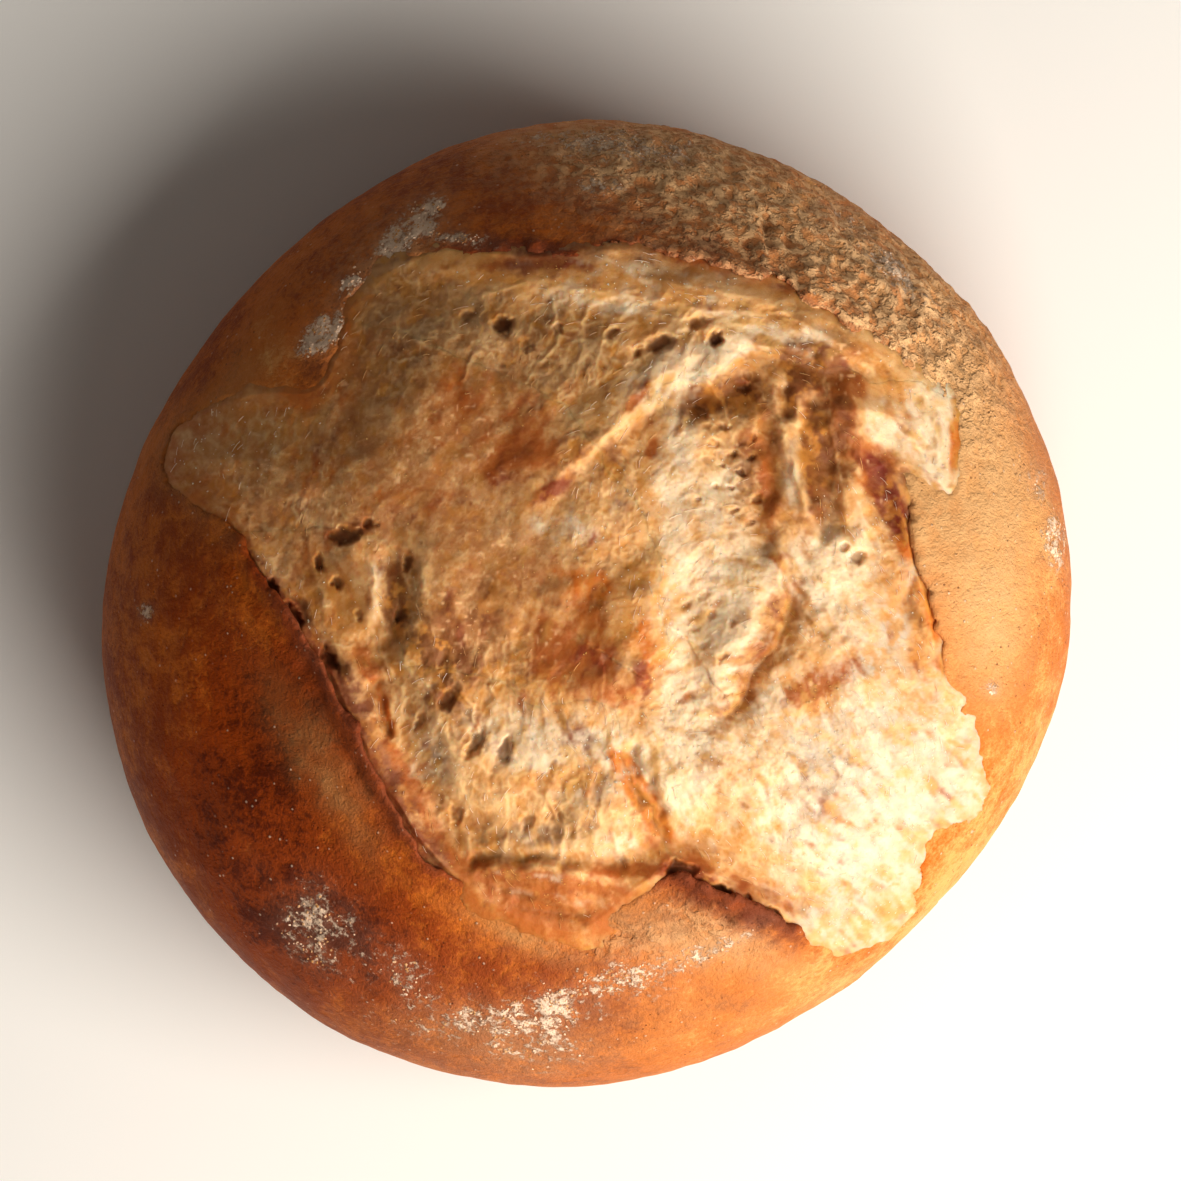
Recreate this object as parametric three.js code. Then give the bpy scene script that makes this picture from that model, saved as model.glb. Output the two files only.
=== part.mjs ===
// A round, crusty bread roll baked on a hearth. A cross was cut into its top before baking.
// In the oven the cut tore wide open: four flaps of crust stand round a swollen patch of torn crumb.
// It is one solid. Millimetres, +Z up, with the origin at the middle of the flat base.
import * as THREE from "three";

// The whole roll
const meanRadius = 54.4; // at the widest level
const widestHeight = 21; // of the widest level above the base
const domeRise = 31; // from the widest level to the crown
const domePower = 2.25; // 2 would be an ellipse, more is squarer
const baseShare = 0.68; // radius of the flat base over the widest radius
const underPower = 2.2; // roundness of the edge between the base and the side

// Slow waves in the outline: how many to a turn, how high, and the angle of a crest in degrees
const outlineWaves = [
  { count: 1, height: 0.5, crest: -135 },
  { count: 2, height: 1.5, crest: 90 },
  { count: 3, height: 0.5, crest: -42 },
  { count: 4, height: 0.5, crest: 10 },
];

// The torn edge of the crust, anticlockwise seen from above: x, y, and how far the edge is lifted
const tornEdge = [
  [39.8, -8.7, 0.6], // the right flap
  [39.2, -1.9, 1.2],
  [37.0, 4.8, 1.6],
  [34.6, 12.4, 1.2],
  [38.4, 17.6, 0.6], // the upper right arm of the tear
  [40.2, 21.6, 0.8],
  [33.0, 27.6, 1.6], // the upper flap
  [27.4, 32.2, 2.4],
  [19.5, 36.4, 3.0],
  [10.5, 39.0, 3.2],
  [2.6, 40.0, 3.2],
  [-5.0, 38.4, 3.0],
  [-13.0, 39.4, 2.6],
  [-21.1, 38.2, 1.6],
  [-26.1, 33.6, 0.8], // the upper left arm
  [-29.0, 27.0, 0.8],
  [-37.4, 23.4, 0.6],
  [-44.6, 19.0, 0.2],
  [-46.6, 14.6, 0.2],
  [-41.6, 9.8, 1.0], // the left flap
  [-35.7, 2.4, 2.2],
  [-29.8, -5.0, 3.0],
  [-24.0, -13.6, 3.2],
  [-20.0, -21.6, 3.0],
  [-15.6, -29.8, 1.8],
  [-8.6, -33.8, 0.8], // the lower flap
  [-1.2, -35.0, 0.8],
  [5.8, -32.0, 1.4],
  [11.6, -30.4, 2.4],
  [18.6, -33.6, 2.6],
  [24.4, -37.0, 1.4],
  [30.2, -38.4, 0.2], // the lower right arm
  [37.0, -32.6, 0.2],
  [42.8, -22.6, 0.2],
  [42.8, -14.0, 0.4],
];
const liftReach = 7; // how far back from the torn edge the crust is lifted
const wallDepth = 2.6; // drop from the lifted edge to the crumb beside it
const wallLean = 0.5; // how far that drop runs inwards

// The torn crumb
const crumbSwell = 2.6; // of its middle above the dome
const moatDepth = 1.6; // of the hollow that runs round inside the torn edge
const moatWidth = 5;

// Folds and furrows in the crumb: a line from one point to another, its half width and its rise
const folds = [
  { from: [18.4, 29.6], to: [6.0, 22.9], width: 3.0, rise: 2.2 }, // long ridge to the upper right
  { from: [6.0, 22.9], to: [-3.0, 12.7], width: 3.4, rise: 2.0 },
  { from: [-16.0, 24.0], to: [-10.0, 14.0], width: 9.0, rise: 1.2 }, // upper left plate
  { from: [0.5, -1.5], to: [2.5, -6.5], width: 7.0, rise: 2.4 }, // browned crown
  { from: [24.5, 24.0], to: [29.0, 10.0], width: 2.6, rise: 1.8 }, // ridge beside the right flap
  { from: [26.0, -4.0], to: [33.0, -14.0], width: 6.0, rise: 2.6 }, // right lobe
  { from: [16.0, -20.0], to: [26.0, -26.0], width: 6.5, rise: 1.6 }, // lower lobe
  { from: [12.5, 22.4], to: [19.0, 24.6], width: 3.0, rise: -4.0 }, // pit under the long ridge
  { from: [18.5, 20.0], to: [17.0, 8.0], width: 3.0, rise: -2.4 }, // valley below it
  { from: [25.4, 19.5], to: [27.2, 11.0], width: 2.4, rise: -2.4 },
  { from: [13.0, 4.0], to: [12.0, -8.0], width: 3.2, rise: -2.2 }, // valley right of the crown
  { from: [22.9, 0.3], to: [16.0, -12.0], width: 2.6, rise: -3.6 }, // deep groove
  { from: [-20.6, 5.5], to: [-22.6, -9.0], width: 2.8, rise: -3.6 }, // gap beside the left flap
  { from: [-17.0, -11.0], to: [-9.0, -15.0], width: 3.0, rise: -1.6 },
  { from: [3.7, -17.7], to: [8.8, -26.1], width: 2.4, rise: -2.2 }, // crease above the lower flap
];

// Mesh: steps round the roll, and rings in each stretch from the crown down to the base
const turnSteps = 96;
const crumbRings = 20;
const liftRings = 5;
const domeRings = 8;
const underRings = 8;
const baseRings = 2;

const degree = Math.PI / 180;

function outlineRadius(angle) {
  let radius = meanRadius;
  for (const wave of outlineWaves) {
    radius += wave.height * Math.cos(wave.count * angle - wave.crest * degree);
  }
  return radius;
}

// Height of the plain dome of the roll over a point, as if the cut had never opened.
function domeHeight(x, y) {
  const share = Math.min(1, Math.hypot(x, y) / outlineRadius(Math.atan2(y, x)));
  return widestHeight + domeRise * (1 - share ** domePower) ** (1 / domePower);
}

function distanceToLine(x, y, [fromX, fromY], [toX, toY]) {
  const alongX = toX - fromX;
  const alongY = toY - fromY;
  const share = ((x - fromX) * alongX + (y - fromY) * alongY) / (alongX ** 2 + alongY ** 2);
  const nearest = THREE.MathUtils.clamp(share, 0, 1);
  return Math.hypot(x - fromX - nearest * alongX, y - fromY - nearest * alongY);
}

// Height of the torn crumb. share runs from 0 at the middle to 1 at the torn edge.
function crumbHeight(x, y, share, edgeRadius) {
  const inFromEdge = (1 - share) * edgeRadius;
  let height = domeHeight(x, y) + crumbSwell * (1 - share ** 2);
  height -= moatDepth * Math.exp(-((inFromEdge / moatWidth) ** 2));
  for (const fold of folds) {
    const away = distanceToLine(x, y, fold.from, fold.to) / fold.width;
    height += fold.rise * Math.exp(-(away ** 2)) * (1 - share ** 8);
  }
  return height;
}

// One line of points from the crown over the torn edge and the side to the middle of the base.
function lineOfPoints(edge) {
  const points = [];
  const angle = Math.atan2(edge.y, edge.x);
  const edgeRadius = Math.hypot(edge.x, edge.y);
  const rimRadius = outlineRadius(angle);
  const add = (radius, z) => points.push([radius * Math.cos(angle), radius * Math.sin(angle), z]);
  const liftAt = (radius) => edge.z * Math.exp(-(((radius - edgeRadius) / liftReach) ** 2));
  const crustHeight = (radius) => {
    return domeHeight(radius * Math.cos(angle), radius * Math.sin(angle)) + liftAt(radius);
  };

  for (let ring = 1; ring <= crumbRings; ring++) {
    const share = ring / crumbRings;
    const radius = share * (edgeRadius - wallLean);
    add(radius, crumbHeight(radius * Math.cos(angle), radius * Math.sin(angle), share, edgeRadius));
  }
  const footHeight = points[points.length - 1][2];
  const edgeHeight = Math.max(crustHeight(edgeRadius), footHeight + wallDepth * Math.min(1, edge.z / 2));
  add(edgeRadius, Math.min(edgeHeight, crustHeight(edgeRadius) + wallDepth));
  const liftedWidth = Math.min(liftReach, 0.5 * (rimRadius - edgeRadius));
  for (let ring = 1; ring <= liftRings; ring++) {
    const radius = edgeRadius + (liftedWidth * ring) / liftRings;
    add(radius, crustHeight(radius));
  }
  const shareHere = (edgeRadius + liftedWidth) / rimRadius;
  const slopeHere = Math.asin(shareHere ** (domePower / 2));
  for (let ring = 1; ring <= domeRings; ring++) {
    const slope = slopeHere + ((Math.PI / 2 - slopeHere) * ring) / domeRings;
    const radius = rimRadius * Math.sin(slope) ** (2 / domePower);
    add(radius, ring === domeRings ? widestHeight : crustHeight(radius));
  }
  for (let ring = 1; ring <= underRings; ring++) {
    const turn = (Math.PI / 2) * (ring / underRings);
    const share = baseShare + (1 - baseShare) * Math.cos(turn) ** (2 / underPower);
    const drop = Math.sin(turn) ** (2 / underPower);
    add(rimRadius * (ring === underRings ? baseShare : share), widestHeight * (1 - drop));
  }
  for (let ring = 1; ring < baseRings; ring++) {
    add(rimRadius * baseShare * (1 - ring / baseRings), 0);
  }
  return points;
}

// Joins the lines of points into one closed surface with its faces pointing out.
function closedSurface(lines, crown, foot) {
  const rings = lines[0].length;
  const positions = [...lines.flat(2), ...crown, ...foot];
  const crownIndex = lines.length * rings;
  const footIndex = crownIndex + 1;
  const index = [];
  for (let turn = 0; turn < lines.length; turn++) {
    const here = turn * rings;
    const next = ((turn + 1) % lines.length) * rings;
    index.push(crownIndex, here, next);
    for (let ring = 0; ring < rings - 1; ring++) {
      index.push(here + ring, here + ring + 1, next + ring + 1);
      index.push(here + ring, next + ring + 1, next + ring);
    }
    index.push(here + rings - 1, footIndex, next + rings - 1);
  }
  const geometry = new THREE.BufferGeometry();
  geometry.setAttribute("position", new THREE.Float32BufferAttribute(positions, 3));
  geometry.setIndex(index);
  return geometry;
}

function rollGeometry() {
  const edgePoints = tornEdge.map(([x, y, lift]) => new THREE.Vector3(x, y, lift));
  const edgeCurve = new THREE.CatmullRomCurve3(edgePoints, true, "centripetal");
  const lines = [];
  for (let turn = 0; turn < turnSteps; turn++) {
    lines.push(lineOfPoints(edgeCurve.getPointAt(turn / turnSteps)));
  }
  const geometry = closedSurface(lines, [0, 0, crumbHeight(0, 0, 0, meanRadius)], [0, 0, 0]);
  geometry.computeBoundingBox();
  const middle = geometry.boundingBox.getCenter(new THREE.Vector3());
  geometry.translate(-middle.x, -middle.y, -geometry.boundingBox.min.z);
  geometry.computeVertexNormals();
  return geometry;
}

const crust = new THREE.MeshStandardMaterial({ color: 0xb9702f, roughness: 0.62, metalness: 0 });

const roll = new THREE.Mesh(rollGeometry(), crust);
roll.name = "roll";

const group = new THREE.Group();
group.add(roll);
export default group;
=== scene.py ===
# A crusty bread roll with a torn cross cut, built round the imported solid.
# Shapes are worked out in millimetres and scaled to metres when a mesh is made.
import math

import bpy
import numpy as np
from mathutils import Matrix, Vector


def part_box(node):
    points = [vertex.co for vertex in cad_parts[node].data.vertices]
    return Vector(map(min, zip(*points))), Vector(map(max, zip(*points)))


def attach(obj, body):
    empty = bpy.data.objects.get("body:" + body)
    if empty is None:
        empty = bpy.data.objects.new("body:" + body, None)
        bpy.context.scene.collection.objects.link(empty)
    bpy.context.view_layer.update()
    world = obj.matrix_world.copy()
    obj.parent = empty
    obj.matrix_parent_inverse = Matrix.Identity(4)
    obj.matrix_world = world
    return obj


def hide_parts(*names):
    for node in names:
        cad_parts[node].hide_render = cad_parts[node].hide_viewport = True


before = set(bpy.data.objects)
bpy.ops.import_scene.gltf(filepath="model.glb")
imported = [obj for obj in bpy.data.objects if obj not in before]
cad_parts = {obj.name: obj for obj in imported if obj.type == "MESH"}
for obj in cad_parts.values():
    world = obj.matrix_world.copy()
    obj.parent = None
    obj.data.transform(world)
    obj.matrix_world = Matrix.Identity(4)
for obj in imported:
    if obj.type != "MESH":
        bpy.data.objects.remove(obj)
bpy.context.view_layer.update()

import openvdb
from mathutils import Vector

rollLow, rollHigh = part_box("roll")
rollWidth = 110  # mm, what the width of the solid stands for
mm = (rollHigh.x - rollLow.x) / rollWidth
middleX = (rollLow.x + rollHigh.x) / 2
middleY = (rollLow.y + rollHigh.y) / 2
print("frame loaded, one millimetre is", round(mm, 6))


form = {
    "meanRadius": 54.4,
    "widestHeight": 21,
    "domeRise": 31,
    "domePower": 2.25,
    "baseShare": 0.68,
    "underPower": 2.2,
    # count, height and crest in degrees of each slow wave in the outline
    "waves": [(1, 0.5, -135), (2, 1.5, 90), (3, 0.5, -42), (4, 0.5, 10)],
}


def outlineRadius(angle):
    radius = np.full_like(angle, form["meanRadius"])
    for count, height, crest in form["waves"]:
        radius = radius + height * np.cos(count * angle - math.radians(crest))
    return radius


def domeHeight(x, y):
    share = np.hypot(x, y) / outlineRadius(np.arctan2(y, x))
    power = form["domePower"]
    left = np.clip(1 - np.minimum(share, 1) ** power, 1e-4, 1)
    return form["widestHeight"] + form["domeRise"] * left ** (1 / power)


noiseSize = 64  # the noise repeats after so many cells
noiseBlocks = {}


def smoothNoise(x, y, z, cell, seed):  # from -1 to 1
    if seed not in noiseBlocks:
        block = np.random.default_rng(seed).uniform(-1, 1, [noiseSize] * 3)
        noiseBlocks[seed] = block.astype(np.float32)
    block = noiseBlocks[seed]
    corners = []
    weights = []
    for values in (x, y, z):
        scaled = np.asarray(values, np.float32) / cell + 1000
        low = np.floor(scaled)
        part = scaled - low
        corner = low.astype(np.int32)
        corners.append((corner % noiseSize, (corner + 1) % noiseSize))
        part = part * part * (3 - 2 * part)
        weights.append((1 - part, part))
    total = 0
    for i in (0, 1):
        for j in (0, 1):
            for k in (0, 1):
                weight = weights[0][i] * weights[1][j] * weights[2][k]
                total = total + weight * block[corners[0][i], corners[1][j], corners[2][k]]
    return total


def layeredNoise(x, y, z, cell, layers, seed, fade=0.55):
    total = 0
    size = 1.0
    for layer in range(layers):
        total = total + size * smoothNoise(x, y, z, cell / 2.03**layer, seed + layer)
        size = size * fade
    return total


def cellWalls(x, y, seed):  # distance from the nearest wall between cells, and each cell's own number
    rng = np.random.default_rng(seed)
    offsets = rng.uniform(0.05, 0.95, (noiseSize, noiseSize, 2))
    own = rng.uniform(0, 1, (noiseSize, noiseSize))
    column = np.floor(x).astype(int)
    row = np.floor(y).astype(int)
    nearest = np.full(x.shape, 9.0)
    second = np.full(x.shape, 9.0)
    number = np.zeros(x.shape)
    for i in (-1, 0, 1):
        for j in (-1, 0, 1):
            spot = ((column + i) % noiseSize, (row + j) % noiseSize)
            away = np.hypot(x - column - i - offsets[spot][..., 0], y - row - j - offsets[spot][..., 1])
            number = np.where(away < nearest, own[spot], number)
            second = np.minimum(second, np.maximum(away, nearest))
            nearest = np.minimum(nearest, away)
    return second - nearest, number


def smoothStep(low, high, value):
    share = np.clip((value - low) / (high - low), 0, 1)
    return share * share * (3 - 2 * share)


# Maps are square grids of values over the roll seen from above.
mapStep = 0.15
mapReach = 58
mapCount = int(2 * mapReach / mapStep) + 1
mapLine = np.linspace(-mapReach, mapReach, mapCount)
mapX, mapY = np.meshgrid(mapLine, mapLine, indexing="ij")


def readMap(values, x, y):
    column = np.clip((np.asarray(x) + mapReach) / mapStep, 0, mapCount - 1.001)
    row = np.clip((np.asarray(y) + mapReach) / mapStep, 0, mapCount - 1.001)
    i = column.astype(int)
    j = row.astype(int)
    u = column - i
    v = row - j
    near = values[i, j] * (1 - u) + values[i + 1, j] * u
    far = values[i, j + 1] * (1 - u) + values[i + 1, j + 1] * u
    return near * (1 - v) + far * v


def blurMap(values, spread):  # spread in mm
    reach = int(3 * spread / mapStep)
    weights = np.exp(-0.5 * (np.arange(-reach, reach + 1) * mapStep / spread) ** 2)
    weights = weights / weights.sum()
    for axis in (0, 1):
        padded = np.pad(values, [(reach, reach) if a == axis else (0, 0) for a in (0, 1)], mode="edge")
        total = 0
        for step, weight in enumerate(weights):
            total = total + weight * np.take(padded, np.arange(step, step + mapCount), axis=axis)
        values = total
    return values


def lineDistance(x, y, start, end):
    alongX = end[0] - start[0]
    alongY = end[1] - start[1]
    share = ((x - start[0]) * alongX + (y - start[1]) * alongY) / (alongX**2 + alongY**2)
    share = np.clip(share, 0, 1)
    return np.hypot(x - start[0] - share * alongX, y - start[1] - share * alongY), share


def pathSide(x, y, path):  # distance to the left of a path, and a share that fades at its two ends
    nearest = np.full(x.shape, 1e3)
    signed = np.zeros(x.shape)
    place = np.zeros(x.shape)
    length = 0
    for start, end in zip(path, path[1:]):
        away, share = lineDistance(x, y, start, end)
        turn = (end[0] - start[0]) * (y - start[1]) - (end[1] - start[1]) * (x - start[0])
        span = math.dist(start, end)
        closer = away < nearest
        nearest = np.where(closer, away, nearest)
        signed = np.where(closer, np.where(turn > 0, away, -away), signed)
        place = np.where(closer, length + share * span, place)
        length += span
    taper = min(7.0, length / 3)
    return signed, smoothStep(0, taper, place) * smoothStep(length, length - taper, place)


def bell(away, width):  # 1 at 0, and 0.37 at the width
    return np.exp(-((away / width) ** 2))


def mapNoise(size, layers, seed, fade=0.55):
    return layeredNoise(mapX, mapY, 0 * mapX, size, layers, seed, fade)


def turned(x, y, turn):  # a place measured along a direction and across it
    turn = math.radians(turn)
    return x * math.cos(turn) + y * math.sin(turn), y * math.cos(turn) - x * math.sin(turn)


# A patch is an oval: x, y, half its length and half its width in mm, and its turn in degrees.
def patchShare(x, y, long, wide, turn=0):  # 1 in the middle, fading to 0 past the edge
    along, across = turned(mapX - x, mapY - y, turn)
    return np.exp(-((along / long) ** 2) - (across / wide) ** 2)


def patchTotal(patches):  # here each patch ends with its amount
    total = 0
    for *patch, amount in patches:
        total = total + amount * patchShare(*patch)
    return total


def patchMap(patches):
    return np.clip(patchTotal(patches), 0, 1.3)


tear = {
    # from the right flap: x, y, lift, width of the bank under the torn crust, and how crisp its edge is
    "edge": [
        (39.9, -8.7, 0.4, 2.0, 0.2), (39.2, -4.0, 0.8, 2.2, 0.4), (38.4, 0.5, 1.0, 2.2, 0.5),
        (36.9, 4.6, 1.1, 2.2, 0.6), (36.2, 8.4, 1.0, 2.2, 0.5), (35.4, 12.2, 0.7, 2.2, 0.3),
        (34.4, 15.0, 0.3, 2.0, 0.0), (36.0, 15.6, 0.2, 2.0, 0.0), (38.4, 14.4, 0.1, 2.0, 0.0),
        (41.0, 13.0, 0.1, 2.0, 0.0), (41.4, 18.4, 0.2, 2.0, 0.1), (38.8, 24.0, 0.6, 3.0, 0.1),
        (33.4, 28.8, 1.6, 4.0, 0.2), (27.4, 33.0, 2.4, 5.0, 0.5), (19.5, 36.6, 3.0, 6.0, 0.5),
        (10.5, 38.8, 3.2, 6.5, 0.4), (2.6, 39.6, 2.8, 6.0, 0.3), (-4.7, 38.8, 2.2, 5.0, 0.3),
        (-10.9, 39.2, 1.4, 4.0, 0.2), (-16.6, 39.4, 0.8, 3.0, 0.1), (-21.6, 37.6, 0.4, 2.5, 0.0),
        (-26.1, 33.9, 0.2, 2.5, 0.0), (-27.6, 28.6, 0.2, 2.5, 0.0), (-30.4, 23.8, 0.3, 2.0, 0.0),
        (-37.4, 23.4, 0.1, 2.0, 0.0), (-44.2, 20.6, 0.1, 2.0, 0.0), (-47.0, 16.4, 0.1, 2.0, 0.0),
        (-45.4, 12.8, 0.1, 2.0, 0.1), (-41.0, 9.6, 0.6, 2.0, 0.3), (-37.6, 4.6, 1.6, 2.4, 0.8),
        (-34.5, 0.5, 2.4, 3.0, 1.0), (-31.6, -3.8, 2.8, 3.4, 1.0), (-29.2, -7.6, 3.0, 3.4, 1.0),
        (-27.2, -11.6, 3.0, 3.4, 0.9), (-25.2, -15.6, 2.8, 3.2, 0.9), (-23.4, -19.4, 2.4, 2.8, 0.9),
        (-21.2, -23.0, 2.2, 2.4, 0.8), (-18.9, -26.8, 1.9, 2.2, 0.8), (-15.8, -30.2, 1.4, 2.0, 0.5),
        (-11.4, -33.2, 0.7, 2.0, 0.1), (-6.0, -35.8, 0.3, 2.0, 0.0), (-1.2, -36.8, 0.1, 2.0, 0.0),
        (2.4, -34.6, 0.3, 2.0, 0.0), (5.8, -31.6, 0.8, 1.8, 0.1), (9.4, -29.9, 1.6, 1.8, 0.4),
        (13.0, -30.6, 2.2, 1.8, 0.7), (17.0, -32.8, 2.4, 1.8, 0.8), (21.2, -35.2, 2.0, 1.8, 0.7),
        (25.4, -37.8, 0.7, 1.8, 0.2), (29.6, -39.0, 0.1, 1.8, 0.0), (33.6, -37.2, 0.1, 1.8, 0.0),
        (36.8, -33.0, 0.1, 1.8, 0.0), (38.6, -26.0, 0.1, 1.8, 0.0), (43.1, -22.0, 0.1, 1.8, 0.0),
        (43.4, -16.4, 0.1, 1.8, 0.0), (42.2, -11.0, 0.3, 1.8, 0.1),
    ],
    "curveSteps": 6,
    "raggedness": [(3.6, 0.55, 11), (1.5, 0.32, 12), (0.7, 0.16, 13)],  # size, height, seed
    "liftReach": 6.0,
    "curl": 0.25,  # how much of the lift the very edge curls up further
    "curlReach": 1.1,
    "groove": (-28, -11, 20, 7, -57, 0.8),  # a patch, ending with the depth of the groove behind its lip
    "grooveAway": 1.9,
    "grooveWidth": 0.9,
    "skin": 1.25,  # thickness of the crust at the torn edge
}


def closedCurve(points, steps):
    points = np.array(points, float)
    before = np.roll(points, 1, 0)
    after = np.roll(points, -1, 0)
    later = np.roll(points, -2, 0)
    curve = []
    for step in range(steps):
        t = step / steps
        curve.append(
            0.5 * (2 * points + (after - before) * t
                   + (2 * before - 5 * points + 4 * after - later) * t**2
                   + (3 * points - before - 3 * after + later) * t**3)
        )
    return np.stack(curve, 1).reshape(-1, points.shape[1])


def tearMaps():  # distance to the torn edge, negative outside, and the edge's lift, bank and crispness
    edge = closedCurve(tear["edge"], tear["curveSteps"])
    nearest = np.full(mapX.shape, 1e3)
    carried = [np.zeros(mapX.shape)] * 3  # lift, bank and crispness
    inside = np.zeros(mapX.shape, bool)
    for start, end in zip(edge, np.roll(edge, -1, 0)):
        away, share = lineDistance(mapX, mapY, start, end)
        closer = away < nearest
        nearest = np.where(closer, away, nearest)
        for which, values in enumerate(carried):
            first = start[2 + which]
            carried[which] = np.where(closer, first + (end[2 + which] - first) * share, values)
        crosses = (start[1] > mapY) != (end[1] > mapY)
        rise = end[1] - start[1] if abs(end[1] - start[1]) > 1e-9 else 1e-9
        inside ^= crosses & (mapX < start[0] + (mapY - start[1]) * (end[0] - start[0]) / rise)
    lift, bank, crisp = carried
    far = smoothStep(2, 8, nearest)  # away from the edge, values of facing edges run into each other
    lift = blurMap(lift, 1.2) * (1 - far) + blurMap(lift, 5) * far
    bank = blurMap(bank, 2) * (1 - far) + blurMap(bank, 6) * far
    return np.where(inside, nearest, -nearest), lift, bank, blurMap(crisp, 1.2)


tearDepth, tearLift, tearBank, tearCrisp = tearMaps()
ragged = tearDepth.copy()
for size, height, seed in tear["raggedness"]:
    ragged = ragged + height * smoothNoise(mapX, mapY, 0 * mapX, size, seed) * (1.5 - 0.5 * tearCrisp)
print("tear mapped")

crumbForm = {
    "swell": 2.4,
    "swellReach": 11,
    "unevenness": 0.4,
    "moatDepth": 0.4,  # for each millimetre that the edge is lifted
    # steps: the path with the raised ground on its left, the rise, how far back it fades, and its width
    "ledges": [
        ([(-8, 9.6), (-3, 12.7), (1.5, 17.2), (6, 22.3)], 0.9, 7, 1.0),
        ([(1.5, 17.2), (6, 22.3), (12.7, 26.1), (18.4, 28.6), (26, 28.4), (32, 24)], 1.5, 8, 1.3),
        ([(-10, -8), (-5, -11), (2, -12.4), (7, -10.4)], 0.7, 7, 1.4),
        ([(3, -12), (7.6, -9.4), (8.9, -4), (8.7, 1), (7.4, 7)], 1.5, 7, 0.8),
        ([(12, -13.2), (16.6, -11.6), (20.4, -5.4), (22.8, 0.6), (21.8, 8)], 1.3, 7, 0.5),
        ([(-21, 9), (-19.4, 3.6), (-20.2, -3), (-23, -9)], 0.9, 7, 0.9),
        ([(25.2, 22), (26.8, 15), (28.4, 9.6)], 0.6, 4, 0.7),
        ([(4.2, -17.0), (6.8, -22), (8.8, -26.6)], 1.0, 3.5, 0.5),
    ],
    # ridges and furrows: from, to, width and rise
    "folds": [
        ((0.5, 1.5), (2.8, -7), 4.5, 0.9), ((22.6, 19.6), (24.2, 9.6), 0.9, 0.8),
        ((30, 22), (31.4, 17.6), 2.4, 1), ((29.4, 14.6), (31, 8), 1.2, 0.9),
        ((32.8, 14.8), (35.6, 6.8), 1.2, -1.4), ((36.2, 4.6), (38.6, -3.4), 0.8, -1),
        # the thick torn rim at the left, and the gap behind its upper end
        ((-27.4, -8.6), (-23.4, -16.6), 1.9, 1.1), ((-34.4, 1.8), (-28.2, -7), 0.8, -1.9),
        ((-23.4, -9.6), (-22, -14.6), 0.7, -1.3),
        # stretched skin under the lowest cells
        ((-13, -30.6), (6, -31.6), 1.3, 0.8), ((-12, -29), (4, -29.4), 0.9, -1.1),
        ((-12, -32), (1, -34.2), 0.7, 0.5), ((-10.5, -33.4), (0.6, -35.6), 0.6, -0.7),
        ((8.4, -29), (22.6, -34.4), 1.2, -1), ((25, -4), (33, -12), 5, 0.9),
        ((15, -19), (26, -22), 4.5, 0.8), ((29, -27), (36, -24), 4, 0.7),
        ((12.4, 22.4), (18, 24), 2.4, -2.2), ((41.5, 20.6), (41.2, 15.6), 0.7, -1.5),
        ((15, 19), (17.6, 12), 2.2, -0.9), ((22.6, 24.4), (23.4, 20.8), 0.9, -1.2),
        ((26.2, 22.4), (26.6, 9), 1.6, -1.6), ((20.6, 20), (19.6, 6.6), 1.4, -1),
        ((12.4, 4.4), (11.8, -8), 3, -0.8), ((22.2, -0.4), (17.4, -11), 1.9, -1.5),
        ((-22, 4.4), (-21.6, -3.6), 1.8, -1.3), ((-14.6, -25), (-4, -25.4), 2.4, -1),
        ((5, -16.6), (8.6, -25), 0.9, -1.3),
    ],
}

skinForm = {
    # where the crumb's surface dried to a smooth skin, and where it tore open
    "patches": [
        (-16, 21, 15, 11, 10, 1), (-21, 10, 12, 7, 0, 0.8), (-8, 12, 8, 6, 0, 0.7),
        (-12, 1, 8, 9, 0, 0.75), (-37, 17, 9, 5, 0, 0.5), (1, -2, 7, 8, 0, 1.1),
        (4, 36.5, 24, 3.6, -6, 0.95), (30, 27, 8, 6, -40, 0.9), (33, 18, 5, 7, 10, 0.8),
        (27, 0, 5, 9, 0, 0.45), (24, -8, 6, 3, 0, 0.55), (27, -21, 14, 12, 0, 0.3),
        (-26, -3, 3, 9, 20, 0.8), (0, -17, 8, 3, 0, 0.4), (2, 29, 13, 3.6, 0, -0.7),
        (14, -1, 5, 11, -6, -0.8), (15.5, 22, 5, 4, 0, -0.9), (17, 13, 3, 6, 0, -0.8),
        (-6, -23, 12, 4.5, 0, -0.9), (-18, -12, 6, 4, 50, -0.8), (-21, 1, 2, 7, 0, -0.9),
    ],
    "thickness": 0.2,
}

crumbSkin = smoothStep(0.3, 0.66, patchTotal(skinForm["patches"]) + 0.3 * mapNoise(4.5, 5, 121, 0.62))
domeMap = domeHeight(mapX, mapY)
outward = np.maximum(-tearDepth, 0)
inward = np.maximum(tearDepth, 0)
curl = tear["curl"] * (1 + 0.5 * mapNoise(2.6, 2, 15))
liftMap = tearLift * (bell(outward, tear["liftReach"]) + curl * bell(outward, tear["curlReach"]))
furrow = bell(outward - tear["grooveAway"], tear["grooveWidth"]) * (1 + 0.4 * mapNoise(3, 2, 17))
liftMap = liftMap - tear["groove"][-1] * furrow * patchShare(*tear["groove"][:-1])
crustTop = domeMap + liftMap
slopeX, slopeY = np.gradient(domeMap, mapStep)
domeUp = 1 / np.sqrt(1 + slopeX**2 + slopeY**2)  # upward part of the dome's normal
skinMap = tear["skin"] * tearCrisp + 0.2
waveX = mapX + 0.9 * mapNoise(5, 3, 25)  # so that folds and seams aren't ruled lines
waveY = mapY + 0.9 * mapNoise(5, 3, 28)


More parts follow.
